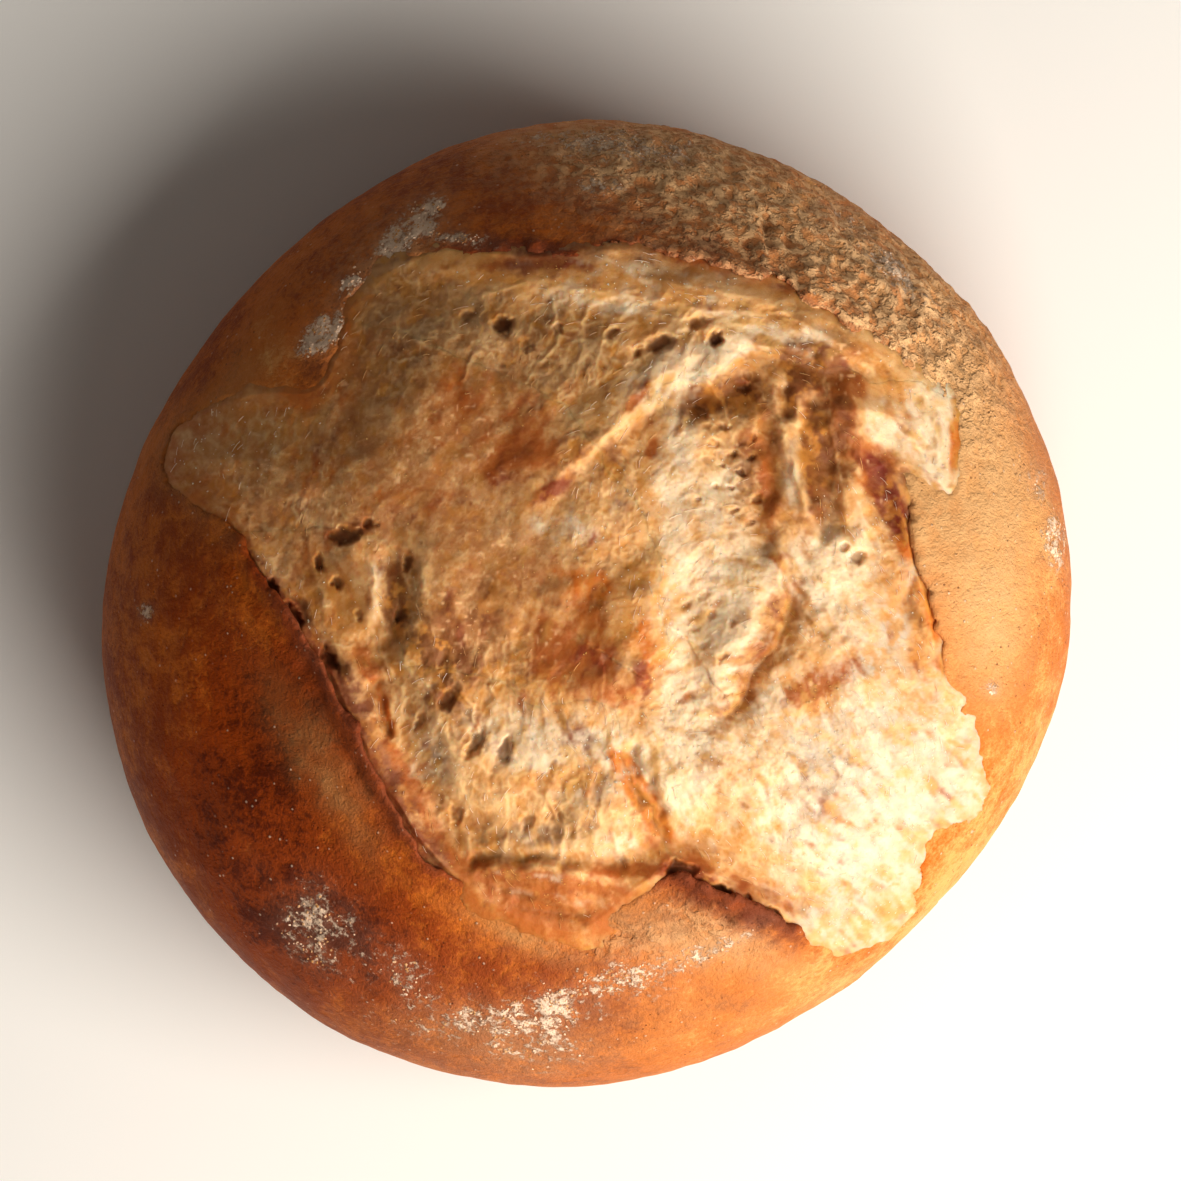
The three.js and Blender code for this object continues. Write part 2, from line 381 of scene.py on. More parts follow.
def crumbHeightMap():
    clings = smoothStep(-0.75, 0.1, mapNoise(6.5, 2, 21))
    clings = 1 - tearCrisp * (1 - clings)
    height = domeMap + crumbForm["swell"] * smoothStep(0, crumbForm["swellReach"], inward)
    height = height + (0.6 + 0.4 * clings) * tearLift * bell(inward, tearBank)
    moat = bell(inward - 1.7 * tearBank, 0.9 * tearBank)
    height = height - crumbForm["moatDepth"] * moat * tearLift
    for path, rise, fade, width in crumbForm["ledges"]:
        left, taper = pathSide(waveX, waveY, path)
        raised = smoothStep(-width, width, left) * bell(np.maximum(left, 0), fade)
        height = height + rise * taper * raised * smoothStep(0, 3, inward)
    for start, end, width, rise in crumbForm["folds"]:
        away = lineDistance(waveX, waveY, start, end)[0]
        height = height + rise * bell(away, width) * smoothStep(0, 3.5, inward)
    height = height + crumbForm["unevenness"] * mapNoise(6.0, 3, 31) * smoothStep(0, 4, inward)
    height = height + skinForm["thickness"] * (crumbSkin - 0.5) * smoothStep(0, 2, inward)
    tucked = crustTop - skinMap * smoothStep(0.9, 0.0, inward) + 4 * smoothStep(1.5, 9, inward)
    lapped = crustTop + 0.2 - 0.24 * outward + 0.16 * mapNoise(2.4, 3, 34)
    height = np.minimum(height, tucked)
    # where crumb thins out over the crust
    soft = smoothStep(0.5, 0.1, tearCrisp) * np.exp(-inward / 1.2)
    return height + (lapped - height) * soft


crumbTop = crumbHeightMap()
print("heights mapped")

# Which way the crumb was pulled.
grain = {
    # at, size and angle in degrees of each stretch
    "combs": [
        ((-5, 34), (14, 6), 8), ((12, 35), (10, 5), -12), ((26, 30), (7, 5), -34),
        ((34, 22), (5, 7), -56), ((39, 17), (3.5, 7), -66), ((6, 28), (9, 6), 62),
        ((-9, 28), (6, 6), 84), ((4, 18), (9, 3.5), 42), ((-16, 21), (13, 10), 40),
        ((-33, 16), (9, 7), 80), ((-25, -3), (5, 10), -72), ((-20, -14), (6, 5), 52),
        ((-6, -22), (12, 6), 88), ((3, -22), (4, 6), 106), ((18, 14), (4, 8), 6),
        ((24, 13), (4, 8), -72), ((14, -4), (6, 9), 20), ((28, -6), (6, 9), -64),
        ((26, -20), (14, 12), -48), ((14, -30), (10, 3), -28), ((0, 4), (9, 10), 75),
    ],
    # where the fibres show most
    "fibrous": [
        (8, 35, 24, 5, -10, 1), (36, 20, 5, 12, 28, 1), (-5, -22, 12, 5, 0, 1), (4, 26, 10, 6, 30, 1),
    ],
    # spread and reach of the noise that is smeared along the grain
    "fine": (0.16, 1.8),
    "middle": (0.3, 2.6),
    "streak": (0.34, 7.0),
}

torn = {
    # zones of open cells: at, size, turn, then the cells' direction, length, width and depth
    "cells": [
        ((2, 29.5), (15, 4.6), -4, 62, 4.2, 2.5, 0.5), ((-14, 30), (8, 4), 20, 80, 3.6, 2.4, 0.3),
        ((14.6, 22.6), (5, 3), 15, 20, 1.7, 1.3, 0.7), ((16.4, 14), (3.6, 6), 0, 80, 1.4, 1.0, 0.6),
        ((14, -3), (5, 10), -8, 75, 2.0, 1.4, 0.22), ((-15, -13), (9, 5), -35, 62, 3.8, 1.9, 0.65),
        ((-6, -23), (13, 4.6), 0, 86, 4.6, 2.2, 0.75), ((4, -21), (4, 6), 0, 100, 3.6, 1.6, 0.3),
        ((-21.4, 1), (2.4, 6), 0, 80, 3.4, 2.2, 0.5), ((-37, 17), (8, 4.5), 0, 60, 2.2, 1.5, 0.22),
        ((-27, 11), (7, 4), 0, 60, 2.6, 1.8, 0.22), ((28, 3), (5, 8), -10, 60, 2.2, 1.4, 0.2),
        ((26, -20), (15, 13), 0, -50, 2.6, 1.7, 0.1), ((0, 8), (9, 5), 0, 60, 2.0, 1.5, 0.05),
        ((10, -18), (5, 5), 0, 60, 2.0, 1.5, 0.16),
    ],
    # single holes: x, y, radius, stretch, turn in degrees, depth
    "holes": [
        (-9.2, 31.2, 1.0, 1.3, 0, 1.1), (8.2, 29.1, 1.0, 1.6, 10, 1.0), (14.4, 29.6, 0.8, 1.3, 0, 1.2),
        (12.6, 31.4, 0.8, 1.8, 5, 0.7), (-13.6, 32.2, 0.8, 1.3, 40, 0.6),
        (-27.2, 7.6, 0.9, 2.2, 10, 1.0), (-24.4, 8.8, 0.6, 1.3, 0, 0.7),
        (-20.0, 4.6, 0.6, 1.5, 80, 0.7), (-30.0, 4.6, 0.6, 1.8, -70, 0.9),
        (-27.8, 2.2, 0.6, 1.4, -70, 0.8), (-25.6, -1.4, 0.5, 1.6, -75, 0.5),
        (-35.2, 1.6, 0.7, 1.8, -60, 1.6), (-32.8, -1.4, 0.7, 2.0, -58, 1.5),
        (-28.8, -6.2, 0.7, 2.0, -60, 1.6), (-20.9, -1.4, 0.6, 1.5, 70, 0.8),
        (10.6, -29.8, 0.9, 2.0, -10, 1.0), (15.0, -32.4, 0.9, 1.6, -20, 1.4),
        (20.6, -35.0, 0.9, 1.8, -20, 1.2), (18.0, -33.0, 0.6, 1.2, 0, 0.8),
        (17.6, 24.0, 0.7, 1.2, 15, 0.8), (12.6, 21.4, 0.7, 1.4, 0, 0.6),
        (17.2, 14.6, 0.45, 1.2, 0, 0.7), (16.4, 16.6, 0.4, 1.4, 0, 0.6),
        (19.0, 11.6, 0.4, 1.3, 30, 0.6), (16.0, 13.0, 0.3, 1.2, 0, 0.5), (30.2, 5.2, 0.7, 1.6, 20, 0.8),
        (28.6, 6.4, 0.5, 1.3, 20, 0.6), (-15.4, -10.6, 0.8, 2.0, 60, 0.8),
        (-12.4, -15.4, 0.8, 2.6, 62, 0.8), (-9.2, -16.4, 0.7, 2.4, 70, 0.8),
        (14.2, 17.8, 0.34, 1.7, 20, 0.3), (15.2, 15.4, 0.3, 1.5, 0, 0.4),
        (18.3, 16.3, 0.34, 1.5, 40, 0.4), (14.4, 13.0, 0.3, 1.6, 10, 0.26),
        (18.8, 18.6, 0.36, 1.6, 60, 0.36), (16.4, 10.2, 0.3, 1.9, 10, 0.34),
        (12.4, 11.8, 0.3, 1.7, 20, 0.22), (18.2, 8.8, 0.34, 1.5, 0, 0.34),
        (15.6, 19.8, 0.4, 1.7, 10, 0.36), (11.1, -0.4, 0.46, 1.4, 30, 0.24),
        (12.9, 0.8, 0.5, 1.5, 0, 0.26), (13.8, -1.4, 0.44, 1.4, 20, 0.24),
        (11.9, -2.8, 0.5, 1.5, 40, 0.26), (13.1, -4.6, 0.56, 1.4, 10, 0.3),
        (15.1, -6.4, 0.46, 1.6, 60, 0.26), (16.1, -2.2, 0.44, 1.4, 70, 0.22),
        (-18.6, -13.2, 0.6, 2.0, 60, 0.6), (-3.4, 30.6, 0.6, 1.6, 70, 0.6),
        (2.8, 30.2, 0.6, 1.8, 60, 0.6), (5.6, 28.2, 0.5, 1.6, 60, 0.5), (-6.6, 29.0, 0.6, 1.6, 80, 0.5),
        (-14.6, -23.4, 0.7, 1.8, 86, 0.6), (-6.8, -24.6, 0.7, 1.8, 84, 0.6),
    ],
    # pale ropes between the largest open cells: path, width, and how much it stands out
    "ropes": [
        ([(12.7, 32.8), (9.6, 30.4), (8.3, 26.8), (6.3, 24), (3.9, 21.2), (0.7, 17.1), (-0.9, 14.8)],
         0.55, 1.0),
        ([(5.5, 35.3), (0.7, 33.6), (-0.9, 31.7), (-0.5, 28.9), (-1.7, 25.2), (-3.3, 23.2)], 0.3, 0.8),
        ([(-3.3, 36.4), (-11.3, 34.8), (-11.7, 31.7), (-12, 28.9), (-14, 25)], 0.28, 0.7),
        ([(-4, 34), (-3.7, 28.9), (-6.4, 24.6)], 0.28, 0.7),
        ([(8.8, 34.8), (4.7, 33.2), (2.4, 31.7), (1.5, 28.9), (0.6, 24.6)], 0.32, 0.8),
        ([(17.6, 31.6), (12.4, 30.6), (10.4, 28.4), (11.4, 25.4), (10.2, 19)], 0.4, 0.8),
        ([(26, 32.4), (18, 33), (12.7, 32.8), (5, 34.4), (-5, 35.4)], 0.3, 0.8),
        ([(31, 30), (24, 33.8), (16, 35), (6, 36.6)], 0.3, 0.6),
        ([(-20.6, -5.6), (-17, -10.6), (-15.6, -16), (-13, -18.6)], 0.3, 0.7),
        ([(-15.4, -7), (-12.6, -12), (-11.6, -17.6)], 0.3, 0.7),
        ([(-10.4, -9), (-8.4, -14), (-8, -18.4)], 0.3, 0.7),
        ([(-15.6, -22), (-13.6, -26), (-13.2, -29)], 0.3, 0.8),
        ([(-9.4, -21.6), (-9.0, -25.6), (-9.6, -29)], 0.3, 0.8),
        ([(-4.6, -21.6), (-2.6, -25.4), (-3.4, -29)], 0.34, 0.9),
        ([(0, -21), (1.6, -25), (0.6, -29)], 0.34, 0.8),
        ([(35.4, 26.6), (38.6, 21.6), (41, 14)], 0.5, 0.9),
        ([(31.4, 27), (34.6, 22.6), (37.6, 17.6)], 0.3, 0.7),
        ([(23.6, 23), (23.6, 17), (24.0, 10)], 0.4, 0.9),
        ([(27.0, 24.6), (27.8, 19), (28.6, 12), (29.6, 7.6)], 0.24, 0.6),
        ([(30.6, 24), (30.8, 18), (30.6, 13)], 0.24, 0.5),
        ([(13.2, 25.4), (15.4, 22), (16.2, 18)], 0.24, 0.7),
        ([(17.4, 26), (18.6, 22.4), (18.8, 18)], 0.24, 0.7),
        ([(-24.2, 5), (-24.4, 0), (-23.4, -5), (-21.0, -9), (-21.0, -15)], 0.4, 0.9),
        ([(-31.4, 8), (-30.6, 4), (-29, 0)], 0.3, 0.6),
    ],
    # thin curved threads all over: spacing, width, seed
    "webs": [(3.4, 0.24, 161), (2.0, 0.19, 171), (1.2, 0.14, 181)],
    "cellDepth": 0.46,
    "cellWall": 0.32,  # how far into a cell its wall slopes down
    "thinWall": 0.08,  # how far the wall's pale part reaches
    "wallRise": 0.1,
    "ropeRise": 0.22,
    "webRise": 0.05,
    "fluffRise": 0.04,
    "threadRise": 0.02,
    "streakRise": 0.02,
}


def grainMaps():
    across = np.full(mapX.shape, 1e-4)
    along = np.zeros(mapX.shape)
    for at, size, angle in grain["combs"]:
        share = patchShare(*at, *size)
        across = across + share * math.cos(2 * math.radians(angle))
        along = along + share * math.sin(2 * math.radians(angle))
    bend = 0.45 * mapNoise(4, 2, 41)
    angle = 0.5 * np.arctan2(blurMap(along, 0.8), blurMap(across, 0.8)) + bend
    return np.cos(angle), np.sin(angle)


grainX, grainY = grainMaps()


def nearestCell(values, x, y):
    i = np.clip(np.rint((x + mapReach) / mapStep).astype(int), 0, mapCount - 1)
    j = np.clip(np.rint((y + mapReach) / mapStep).astype(int), 0, mapCount - 1)
    return values[i, j]


def smearedNoise(size, seed):  # noise smeared along the grain, its usual height 1
    cell, reach = size
    speckle = blurMap(np.random.default_rng(seed).normal(size=mapX.shape), cell)
    total = speckle.copy()
    stride = mapStep
    for way in (1, -1):
        x = mapX.copy()
        y = mapY.copy()
        headX = way * grainX
        headY = way * grainY
        for step in range(int(reach / 2 / stride)):
            x = x + stride * headX
            y = y + stride * headY
            total = total + nearestCell(speckle, x, y)
            newX = nearestCell(grainX, x, y)
            newY = nearestCell(grainY, x, y)
            agree = np.where(newX * headX + newY * headY < 0, -1, 1)
            headX = newX * agree
            headY = newY * agree
    return total / total.std()


def cellMaps():  # depth of the open cells, and how much of a thin pale wall is at each place
    depth = np.zeros(mapX.shape)
    walls = np.zeros(mapX.shape)
    for number, (at, size, turn, way, long, wide, deep) in enumerate(torn["cells"]):
        share = patchShare(*at, *size, turn)
        where = share > 0.04
        x = mapX[where]
        y = mapY[where]
        z = 0 * x
        uneven = 0.22 * layeredNoise(x, y, z, 3, 3, 150 + 4 * number)
        share = smoothStep(0.05, 0.6, share[where] + uneven)
        for scale, part in ((1.0, 1.0), (0.42, 0.3)):
            seed = 220 + 8 * number + int(scale)
            bend = 0.55 * wide * scale
            bentX = x + bend * layeredNoise(x, y, z, 1.6 * wide * scale, 3, seed)
            bentY = y + bend * layeredNoise(x, y, z, 1.6 * wide * scale, 3, seed + 3)
            along, across = turned(bentX, bentY, way)
            wall, own = cellWalls(along / (long * scale), across / (wide * scale), seed)
            hollow = 1 - np.exp(-((wall / torn["cellWall"]) ** 1.4))
            depth[where] += share * part * deep * hollow * (0.15 + 1.3 * own**2)
            broken = smoothStep(-0.6, 0.5, layeredNoise(x, y, z, wide * scale, 2, seed + 6))
            walls[where] += share * part * np.exp(-wall / torn["thinWall"]) * (0.3 + 0.7 * own) * broken
    return depth, walls


def holeMap():
    depth = np.zeros(mapX.shape)
    bentX = mapX + 0.3 * mapNoise(1.1, 3, 131)
    bentY = mapY + 0.3 * mapNoise(1.1, 3, 134)
    for x, y, radius, stretch, turn, deep in torn["holes"]:
        along, across = turned(bentX - x, bentY - y, turn)
        away = np.hypot(along / (radius * stretch), across / radius)
        depth = np.maximum(depth, deep * smoothStep(1.25, 0.5, away))
    return depth


def ropeMap():
    bend = 0.5 * mapNoise(2.6, 3, 191)
    turn = 0.5 * mapNoise(2.6, 3, 194)
    uneven = np.clip(0.75 + 0.5 * mapNoise(3.0, 3, 197), 0.1, 1.3)
    total = np.zeros(mapX.shape)
    for path, width, amount in torn["ropes"]:
        for start, end in zip(path, path[1:]):
            away = lineDistance(mapX + bend, mapY + turn, start, end)[0]
            total = np.maximum(total, amount * bell(away, width))
    return np.clip(total * uneven, 0, 1)


def webMap():
    total = np.zeros(mapX.shape)
    for size, width, seed in torn["webs"]:
        bentX = mapX + 0.3 * size * mapNoise(0.8 * size, 3, seed + 1)
        bentY = mapY + 0.3 * size * mapNoise(0.8 * size, 3, seed + 4)
        value = smoothNoise(bentX, bentY, 0 * mapX, size, seed)
        slope = np.hypot(*np.gradient(value, mapStep))
        away = np.abs(value) / np.maximum(slope, 0.03)
        whole = smoothStep(-0.3, 0.4, mapNoise(1.4 * size, 2, seed + 7))
        total = np.maximum(total, bell(away, width) * whole)
    return total


fineFibre = smearedNoise(grain["fine"], 51)
middleFibre = smearedNoise(grain["middle"], 53)
streaks = np.clip(smearedNoise(grain["streak"], 52) / 1.6, -1.6, 1.6)
fibreAmount = 0.35 + 0.65 * np.clip(patchTotal(grain["fibrous"]), 0, 1)
fibreAmount = fibreAmount * (1 - 0.7 * crumbSkin * (mapY < 26))
cellDepth, cellWall = cellMaps()
holeDepth = holeMap()
ropeShare = ropeMap()
webShare = webMap()
cellDepth = blurMap(cellDepth, 0.22) * (1 - 0.7 * ropeShare)
openness = smoothStep(-0.6, 1.5, ragged)
relief = torn["streakRise"] * fibreAmount * streaks
relief = relief + torn["threadRise"] * np.clip(fineFibre, -1, 2.2) * (0.4 + 0.6 * (1 - crumbSkin))
relief = relief - (1 - 0.5 * crumbSkin) * torn["cellDepth"] * cellDepth
fluff = mapNoise(0.8, 3, 201, 0.7)
relief = relief + torn["fluffRise"] * fluff * (1 - 0.7 * crumbSkin)
relief = relief + torn["wallRise"] * cellWall + torn["ropeRise"] * ropeShare
relief = relief + torn["webRise"] * webShare * (1 - 0.5 * crumbSkin)
crumbTop = crumbTop + openness * relief - holeDepth * smoothStep(-1.5, -0.4, ragged)
print("fibres mapped")

# Where the crust is floury, dark, pale or dull.
crustLook = {
    "flour": [
        (2, 52, 12, 2.2, -4, 0.7), (1, 46.8, 4.5, 2, 0, 0.5), (16, 46, 9, 4, -18, 0.2),
        (28, 41.5, 12, 3.6, -40, 0.25), (34.5, 38, 8, 1.4, -46, 0.7), (-21, 41, 4.6, 1.6, 54, 1.6),
        (-17.4, 43.6, 2.4, 1.2, 66, 1.4), (-13.5, 40.8, 4, 0.9, -8, 1), (-27, 35.2, 2.2, 1.1, 52, 1.7),
        (-29.8, 30.2, 3.6, 1.7, 38, 1.5), (53, 7, 1.6, 3.2, 0, 1.1), (51, 13.8, 1.4, 2.4, 10, 0.8),
        (46, 2, 5, 8, 0, 0.16), (-6, -45.6, 13, 2.6, 8, 0.6), (-6, -50.5, 8, 3, 4, 0.55),
        (-21, -41.5, 5, 3, -30, 0.3), (15, -38.4, 7, 1.2, 26, 0.7), (4, -42.6, 9, 1.8, 20, 0.5),
        (-3, -41, 22, 7, 8, 0.2), (-30, -36, 5, 5, -48, 0.7), (-24, -45, 9, 5, -38, 0.25),
        (-36, -30, 10, 5, -50, 0.1), (45.6, -9.6, 1.2, 1, 0, 1), (-49.8, -1, 1, 1, 0, 1),
    ],
    "matte": [
        (22, 41, 22, 9, -28, 1.25), (5, 50, 13, 4, 0, 0.8), (38, 28, 8, 12, 36, 0.8),
        (-22, 38, 8, 5, 40, 0.5), (3, -37.6, 9, 2.6, -4, 0.45), (14, -36, 7, 1.8, -26, 0.5),
    ],
    "fair": [
        (44, 3, 7, 12, 0, 1.1), (37.6, 9, 3, 8, 0, 0.9), (41, 26, 4, 5, 0, 0.9), (40, 13.6, 6, 4, 0, 1),
        (42, 22, 6, 9, 20, 0.9), (12, -37.6, 11, 3, -14, 0.9), (48, 12, 4, 10, 0, 0.5),
        (46, -6, 4, 7, 0, 0.5), (13, -46.5, 18, 6, 8, 0.36), (-10, -50, 12, 4, -10, 0.4),
    ],
    "dark": [
        (-36, -16, 15, 16, 20, 0.86), (-37, -31, 14, 7, -46, 0.65), (-4, -40.5, 14, 3.6, 6, 0.5),
        (-4, -49, 16, 5, 6, 0.45), (-46, 8, 8, 20, -12, 0.3), (-27, -38, 18, 9, -36, 0.95),
        (-34, 38, 18, 7, 45, 0.5), (-33, 28, 8, 5, 40, -0.35), (-10, 46, 16, 6, 0, 0.6),
        (-26, -18, 2.2, 11, 30, -0.2),
    ],
    "scorch": [
        (15.6, -33.2, 9, 2, -27, 1.5), (9, -36.5, 10, 2.6, -14, 0.35), (2, -47, 16, 4, 8, 0.2),
        (-5, 39.6, 9, 1.6, -2, 0.7), (14, 40.6, 16, 1.4, -16, 0.4), (-22.4, -24.4, 9, 1.5, -56, 0.3),
        (-30, -12, 10, 1.2, -60, 0.5), (-30, 26, 3, 2, 20, 0.4),
    ],
    "pale": [
        (-29.5, -18.5, 2.8, 10, 32, 0.9), (-39.5, 25, 2.2, 8, -30, 0.5), (-8, -37.4, 8, 1, -26, 0.7),
    ],
    "orange": [
        (40, -34, 16, 16, 0, 0.62), (49, -6, 9, 26, 0, 0.6), (17, -45, 18, 8, 10, 0.2),
        (-30, 46, 22, 5, 45, 0.3), (25, 41, 20, 9, -32, 0.4),
    ],
    # where the torn edge is a thick reddish rim, and where crust and crumb run into each other
    "lip": [
        (-31, -5, 9, 3, -58, 1), (-22.6, -20.6, 9, 2, -58, 0.8), (15, -33, 9, 2.5, -24, 0.6),
        (-1, -32, 10, 2, 0, 0.7), (-16, -29, 7, 2.4, -46, 0.9), (-6, 39.4, 7, 2.5, 0, 0.8),
        (14, 38.6, 14, 2.5, -14, 0.4),
    ],
    "soft": [
        (-44, 16, 9, 10, 0, 1), (-6, -35.4, 12, 5, 0, 1), (-28, 27, 6, 8, 0, 0.6),
    ],
    # lumps baked on: where and how high
    "lumps": [
        (16, -33.8, 10, 2.4, -27, 1), (6, -36, 7, 3, -10, 0.35), (-6, 40, 8, 1.8, 0, 0.7),
    ],
}


# Paints of the crumb, each as a map of its share.
crumbLook = {
    "cream": [
        (29, -20, 14, 13, 0, 1.2), (14, -2, 6.4, 11, -6, 1.5), (10, 14, 2, 9, -8, 1),
        (10, -19, 4, 5, 0, 1), (14, 27.6, 7, 1.7, 24, 1.5), (23, 30, 5, 2, -10, 1.3),
        (5, 36.8, 14, 1.8, -5, 0.9), (2, 33.4, 10, 1.6, -5, 0.6), (-2, -16, 8, 3.6, 0, 1),
        (10, -6.4, 1.2, 5, 0, 1.3), (-5, -32.8, 7, 0.6, -10, 1), (-3, 8.6, 5, 2.6, 10, 0.9),
        (-5, -26.5, 13, 2.4, 0, 0.6), (7.6, 34.8, 9, 1.6, -6, 1.1), (39.8, 19.6, 1, 7, -4, 1.4),
        (7.4, 24.6, 3, 2.6, 40, 0.8), (2, -17, 6, 2.4, -10, 0.8), (-18.4, -17, 2, 3, 20, 0.7),
        (-12, -13.5, 8, 4, -30, 0.6), (-17, -18.5, 2.4, 2, 0, 0.6), (38.8, 19, 2.2, 8, 14, 1.1),
        (33.4, 19.4, 3, 3.6, 0, 0.9), (23, 14.6, 1.1, 4.4, 4, 0.9), (-23.6, 1, 0.8, 5, 0, 0.8),
        (27, 3, 6, 7, -10, 1.1), (15, 13.6, 2.4, 4.6, -10, 0.6), (9.6, 28, 2.2, 5, 0, 0.7),
        (-1, -19.6, 5, 2.4, 0, 0.8), (-6, -30.6, 7, 0.6, -6, 0.9), (-40, 15, 6, 5, 0, 0.45),
    ],
    "pearl": [
        (34, -21, 12, 13, 0, 1.3), (34, -2, 4, 7, -10, 0.6), (30, -34, 6, 4, 0, 0.9),
    ],
    "gold": [
        (9, 35.6, 22, 2.8, -8, 1), (27, 31, 9, 2.4, -40, 0.8), (34, 25, 2, 6, 28, 0.6),
        (-12, 37, 8, 2, 0, 0.6), (-28.6, 1, 9, 2.6, -56, 1), (-21.4, -10, 5, 0.9, -80, 1.2),
        (-18, -21, 6, 1.6, -58, 0.7), (-4, -6, 7, 5, 0, 0.8), (5.6, -1, 3.2, 7.6, 0, 1.3),
        (1, 5, 6, 4, 0, 0.4), (-24, 26, 14, 9, 0, 0.5), (-6, -20, 10, 1.8, 4, 0.9),
        (4, 19, 6, 3, 48, 0.5), (29, 11.5, 1.1, 4, 8, 1), (37.6, -3.6, 1.8, 3.4, 0, 1.2),
        (24, -7, 5, 6, 0, 1), (38, 10, 1.4, 6, 20, 0.4), (-4, -32, 11, 1.2, -4, 1),
        (36, -33, 3, 6, -40, 0.6), (-35, 17, 11, 7, 0, 1),
    ],
    "tan": [
        (-17, 20, 14, 9, 15, 1.1), (-24, 12, 14, 5, 0, 0.9), (-12, 4, 8, 6, 0, 1),
        (-12, -4, 5.5, 5, 0, 0.9), (-37, 18, 10, 5, 10, 0.2), (-22, 31, 7, 6, 0, 0.8),
        # the long patch at 19.8, -5.2 is painted shade down one wall of the crevice
        (-6, 27, 10, 5, 0, 0.7), (-30, 9, 7, 4, 0, 0.6), (19.8, -5.2, 7.4, 1.9, 64, 1.5),
        (21, 14, 6, 11, 0, 0.6), (-16, -12, 6, 4, -30, 0.4), (-2, 3, 6, 4, 0, 0.4),
        (1.5, 27.4, 5, 3, 0, 0.6),
    ],
    "toast": [
        (-7.4, 17, 6.8, 5, -12, 0.8), (-13, 23, 4, 3, 30, 0.35), (0.4, -4.4, 4.4, 5, 0, 0.85),
        (4.2, -10, 2, 2, 0, 0.9), (-19, 12, 5, 2, 0, 0.35), (26.6, -8.8, 3.4, 1.8, 30, 1),
        (28.6, 20.4, 3, 6, -6, 1), (20.4, 13.6, 1.4, 7.4, 4, 1.1), (31.9, 13.4, 1.2, 3.4, 12, 1),
        (13, -29.8, 9, 1.3, -24, 0.7), (-30, 3, 3.4, 3.4, 0, 0.5), (-25, -6.4, 4, 1.6, -70, 0.9),
        (-20.2, -20, 9, 1.3, -60, 0.9), (-13.4, -29.4, 4, 1.3, -36, 0.9), (17.6, 16.6, 1.6, 4, 0, 0.5),
        (-8, 38, 7, 1, 0, 0.9), (14, 38, 14, 0.9, -14, 0.5), (5.6, 23, 2.6, 0.7, 50, 1.1),
        (7.2, 17.2, 0.7, 1.6, -20, 0.9), (-2, -31.4, 9, 0.8, -8, 0.8), (-5, -33.6, 11, 3, -8, 0.8),
        (6, -29.9, 7, 1, 2, 1.1), (-14, -3, 5, 6, 0, 0.3), (-4.6, -5, 2.4, 4, 10, 0.8),
        (24.5, 26, 4, 1.6, -10, 0.6), (33, 16.2, 2.6, 1.6, -20, 0.7),
    ],
    # orange-brown along seams and creases; at the crease near 6, -21 it is painted shade on the crease
    # wall
    "amber": [
        (6.2, -21.6, 5.4, 1, -56, 2.2), (4.8, -18.4, 2.2, 1, -56, 1.4), (-22.6, -12, 3, 0.7, -76, 1.2),
        (38.6, -1.6, 4, 0.7, -76, 1.1), (35.6, 7, 2.2, 0.9, -76, 1.4), (0.8, 1.4, 3, 3, 0, 0.9),
        (6.4, -3.6, 1.8, 4.4, 0, 0.7), (41.4, 18, 3, 0.8, 88, 1.5), (-5, -33.6, 11, 1.6, -6, 0.3),
        (-33, 20, 12, 9, 20, 0.4), (-26, 4, 6, 5, -50, 0.3),
    ],
    # painted shade in pits, slots and crevices, partly toasted brown
    "brownShade": [
        (14.4, 23.2, 4, 2.4, 15, 1.1), (22.9, 22.6, 0.8, 2.2, -6, 1.1), (25.9, 15.6, 1.3, 7.4, 5, 1.6),
        (37.4, -5, 1.2, 2.6, 0, 0.4), (-21.2, 0, 1.3, 5, 0, 1.2), (-15, -11.6, 4, 2.4, 0, 0.5),
        (-10, -16, 3, 1.8, 0, 0.6), (-6, -26, 9, 1.8, 0, 0.45), (8, 29.6, 8, 1.8, -4, 0.35),
        (20.2, -4.8, 6.4, 1.2, 64, 0.7), (27.4, 18, 2.4, 4.6, -6, 0.9), (-13, -3, 6, 6, 0, 0.6),
        (2, 14.6, 4, 5, 40, 0.4), (18.2, 15.4, 1.6, 5, 0, 0.6), (25.2, 27.2, 4.4, 2.4, -14, 1.4),
        (-4, -35, 9, 0.8, -9, 0.9), (-8, -32.6, 6, 0.6, -14, 0.7), (-16.6, -5.6, 2.6, 4, 0, 0.8),
        (-26, 8, 5, 1.2, 6, 0.8),
    ],
    "rust": [
        (-4, 12.8, 3.4, 1, 34, 1.3), (-0.2, -5.4, 3.4, 2.6, 0, 0.45), (6.4, -8.8, 2, 1, -70, 1.3),
        (-0.6, -14.4, 2.2, 1.1, -40, 0.7), (11, -30.2, 5, 0.9, -12, 1.1),
        (19.4, -34.8, 4.4, 1.1, -24, 1.1), (-30.6, -4, 6, 0.6, -58, 1), (-6, 38, 5, 0.8, 0, 0.9),
        (-28.4, 24.4, 2.2, 0.9, 20, 0.9), (-38.2, 5.6, 1.6, 1.2, -40, 1.2),
    ],
    # painted shade in the groove beside the right flap
    "grooveShade": [(33.8, 11.6, 5.4, 1.5, -68, 1.8)],
    "ribbon": [
        (-25.6, -12, 5, 1.9, -63, 1.5), (-21.6, -20.4, 6, 1.5, -58, 1.1),
        (-16.6, -28.4, 4, 1.2, -48, 0.9), (-34, 0.4, 8, 1.3, -54, 1), (-0.6, -14.6, 2.4, 1.2, -45, 0.9),
        (-7, 37.6, 4, 1.1, 0, 0.8),
    ],
}

skinEdges = np.clip(np.hypot(*np.gradient(crumbSkin, mapStep)) * 0.8, 0, 1)
softMap = patchMap(crustLook["soft"])


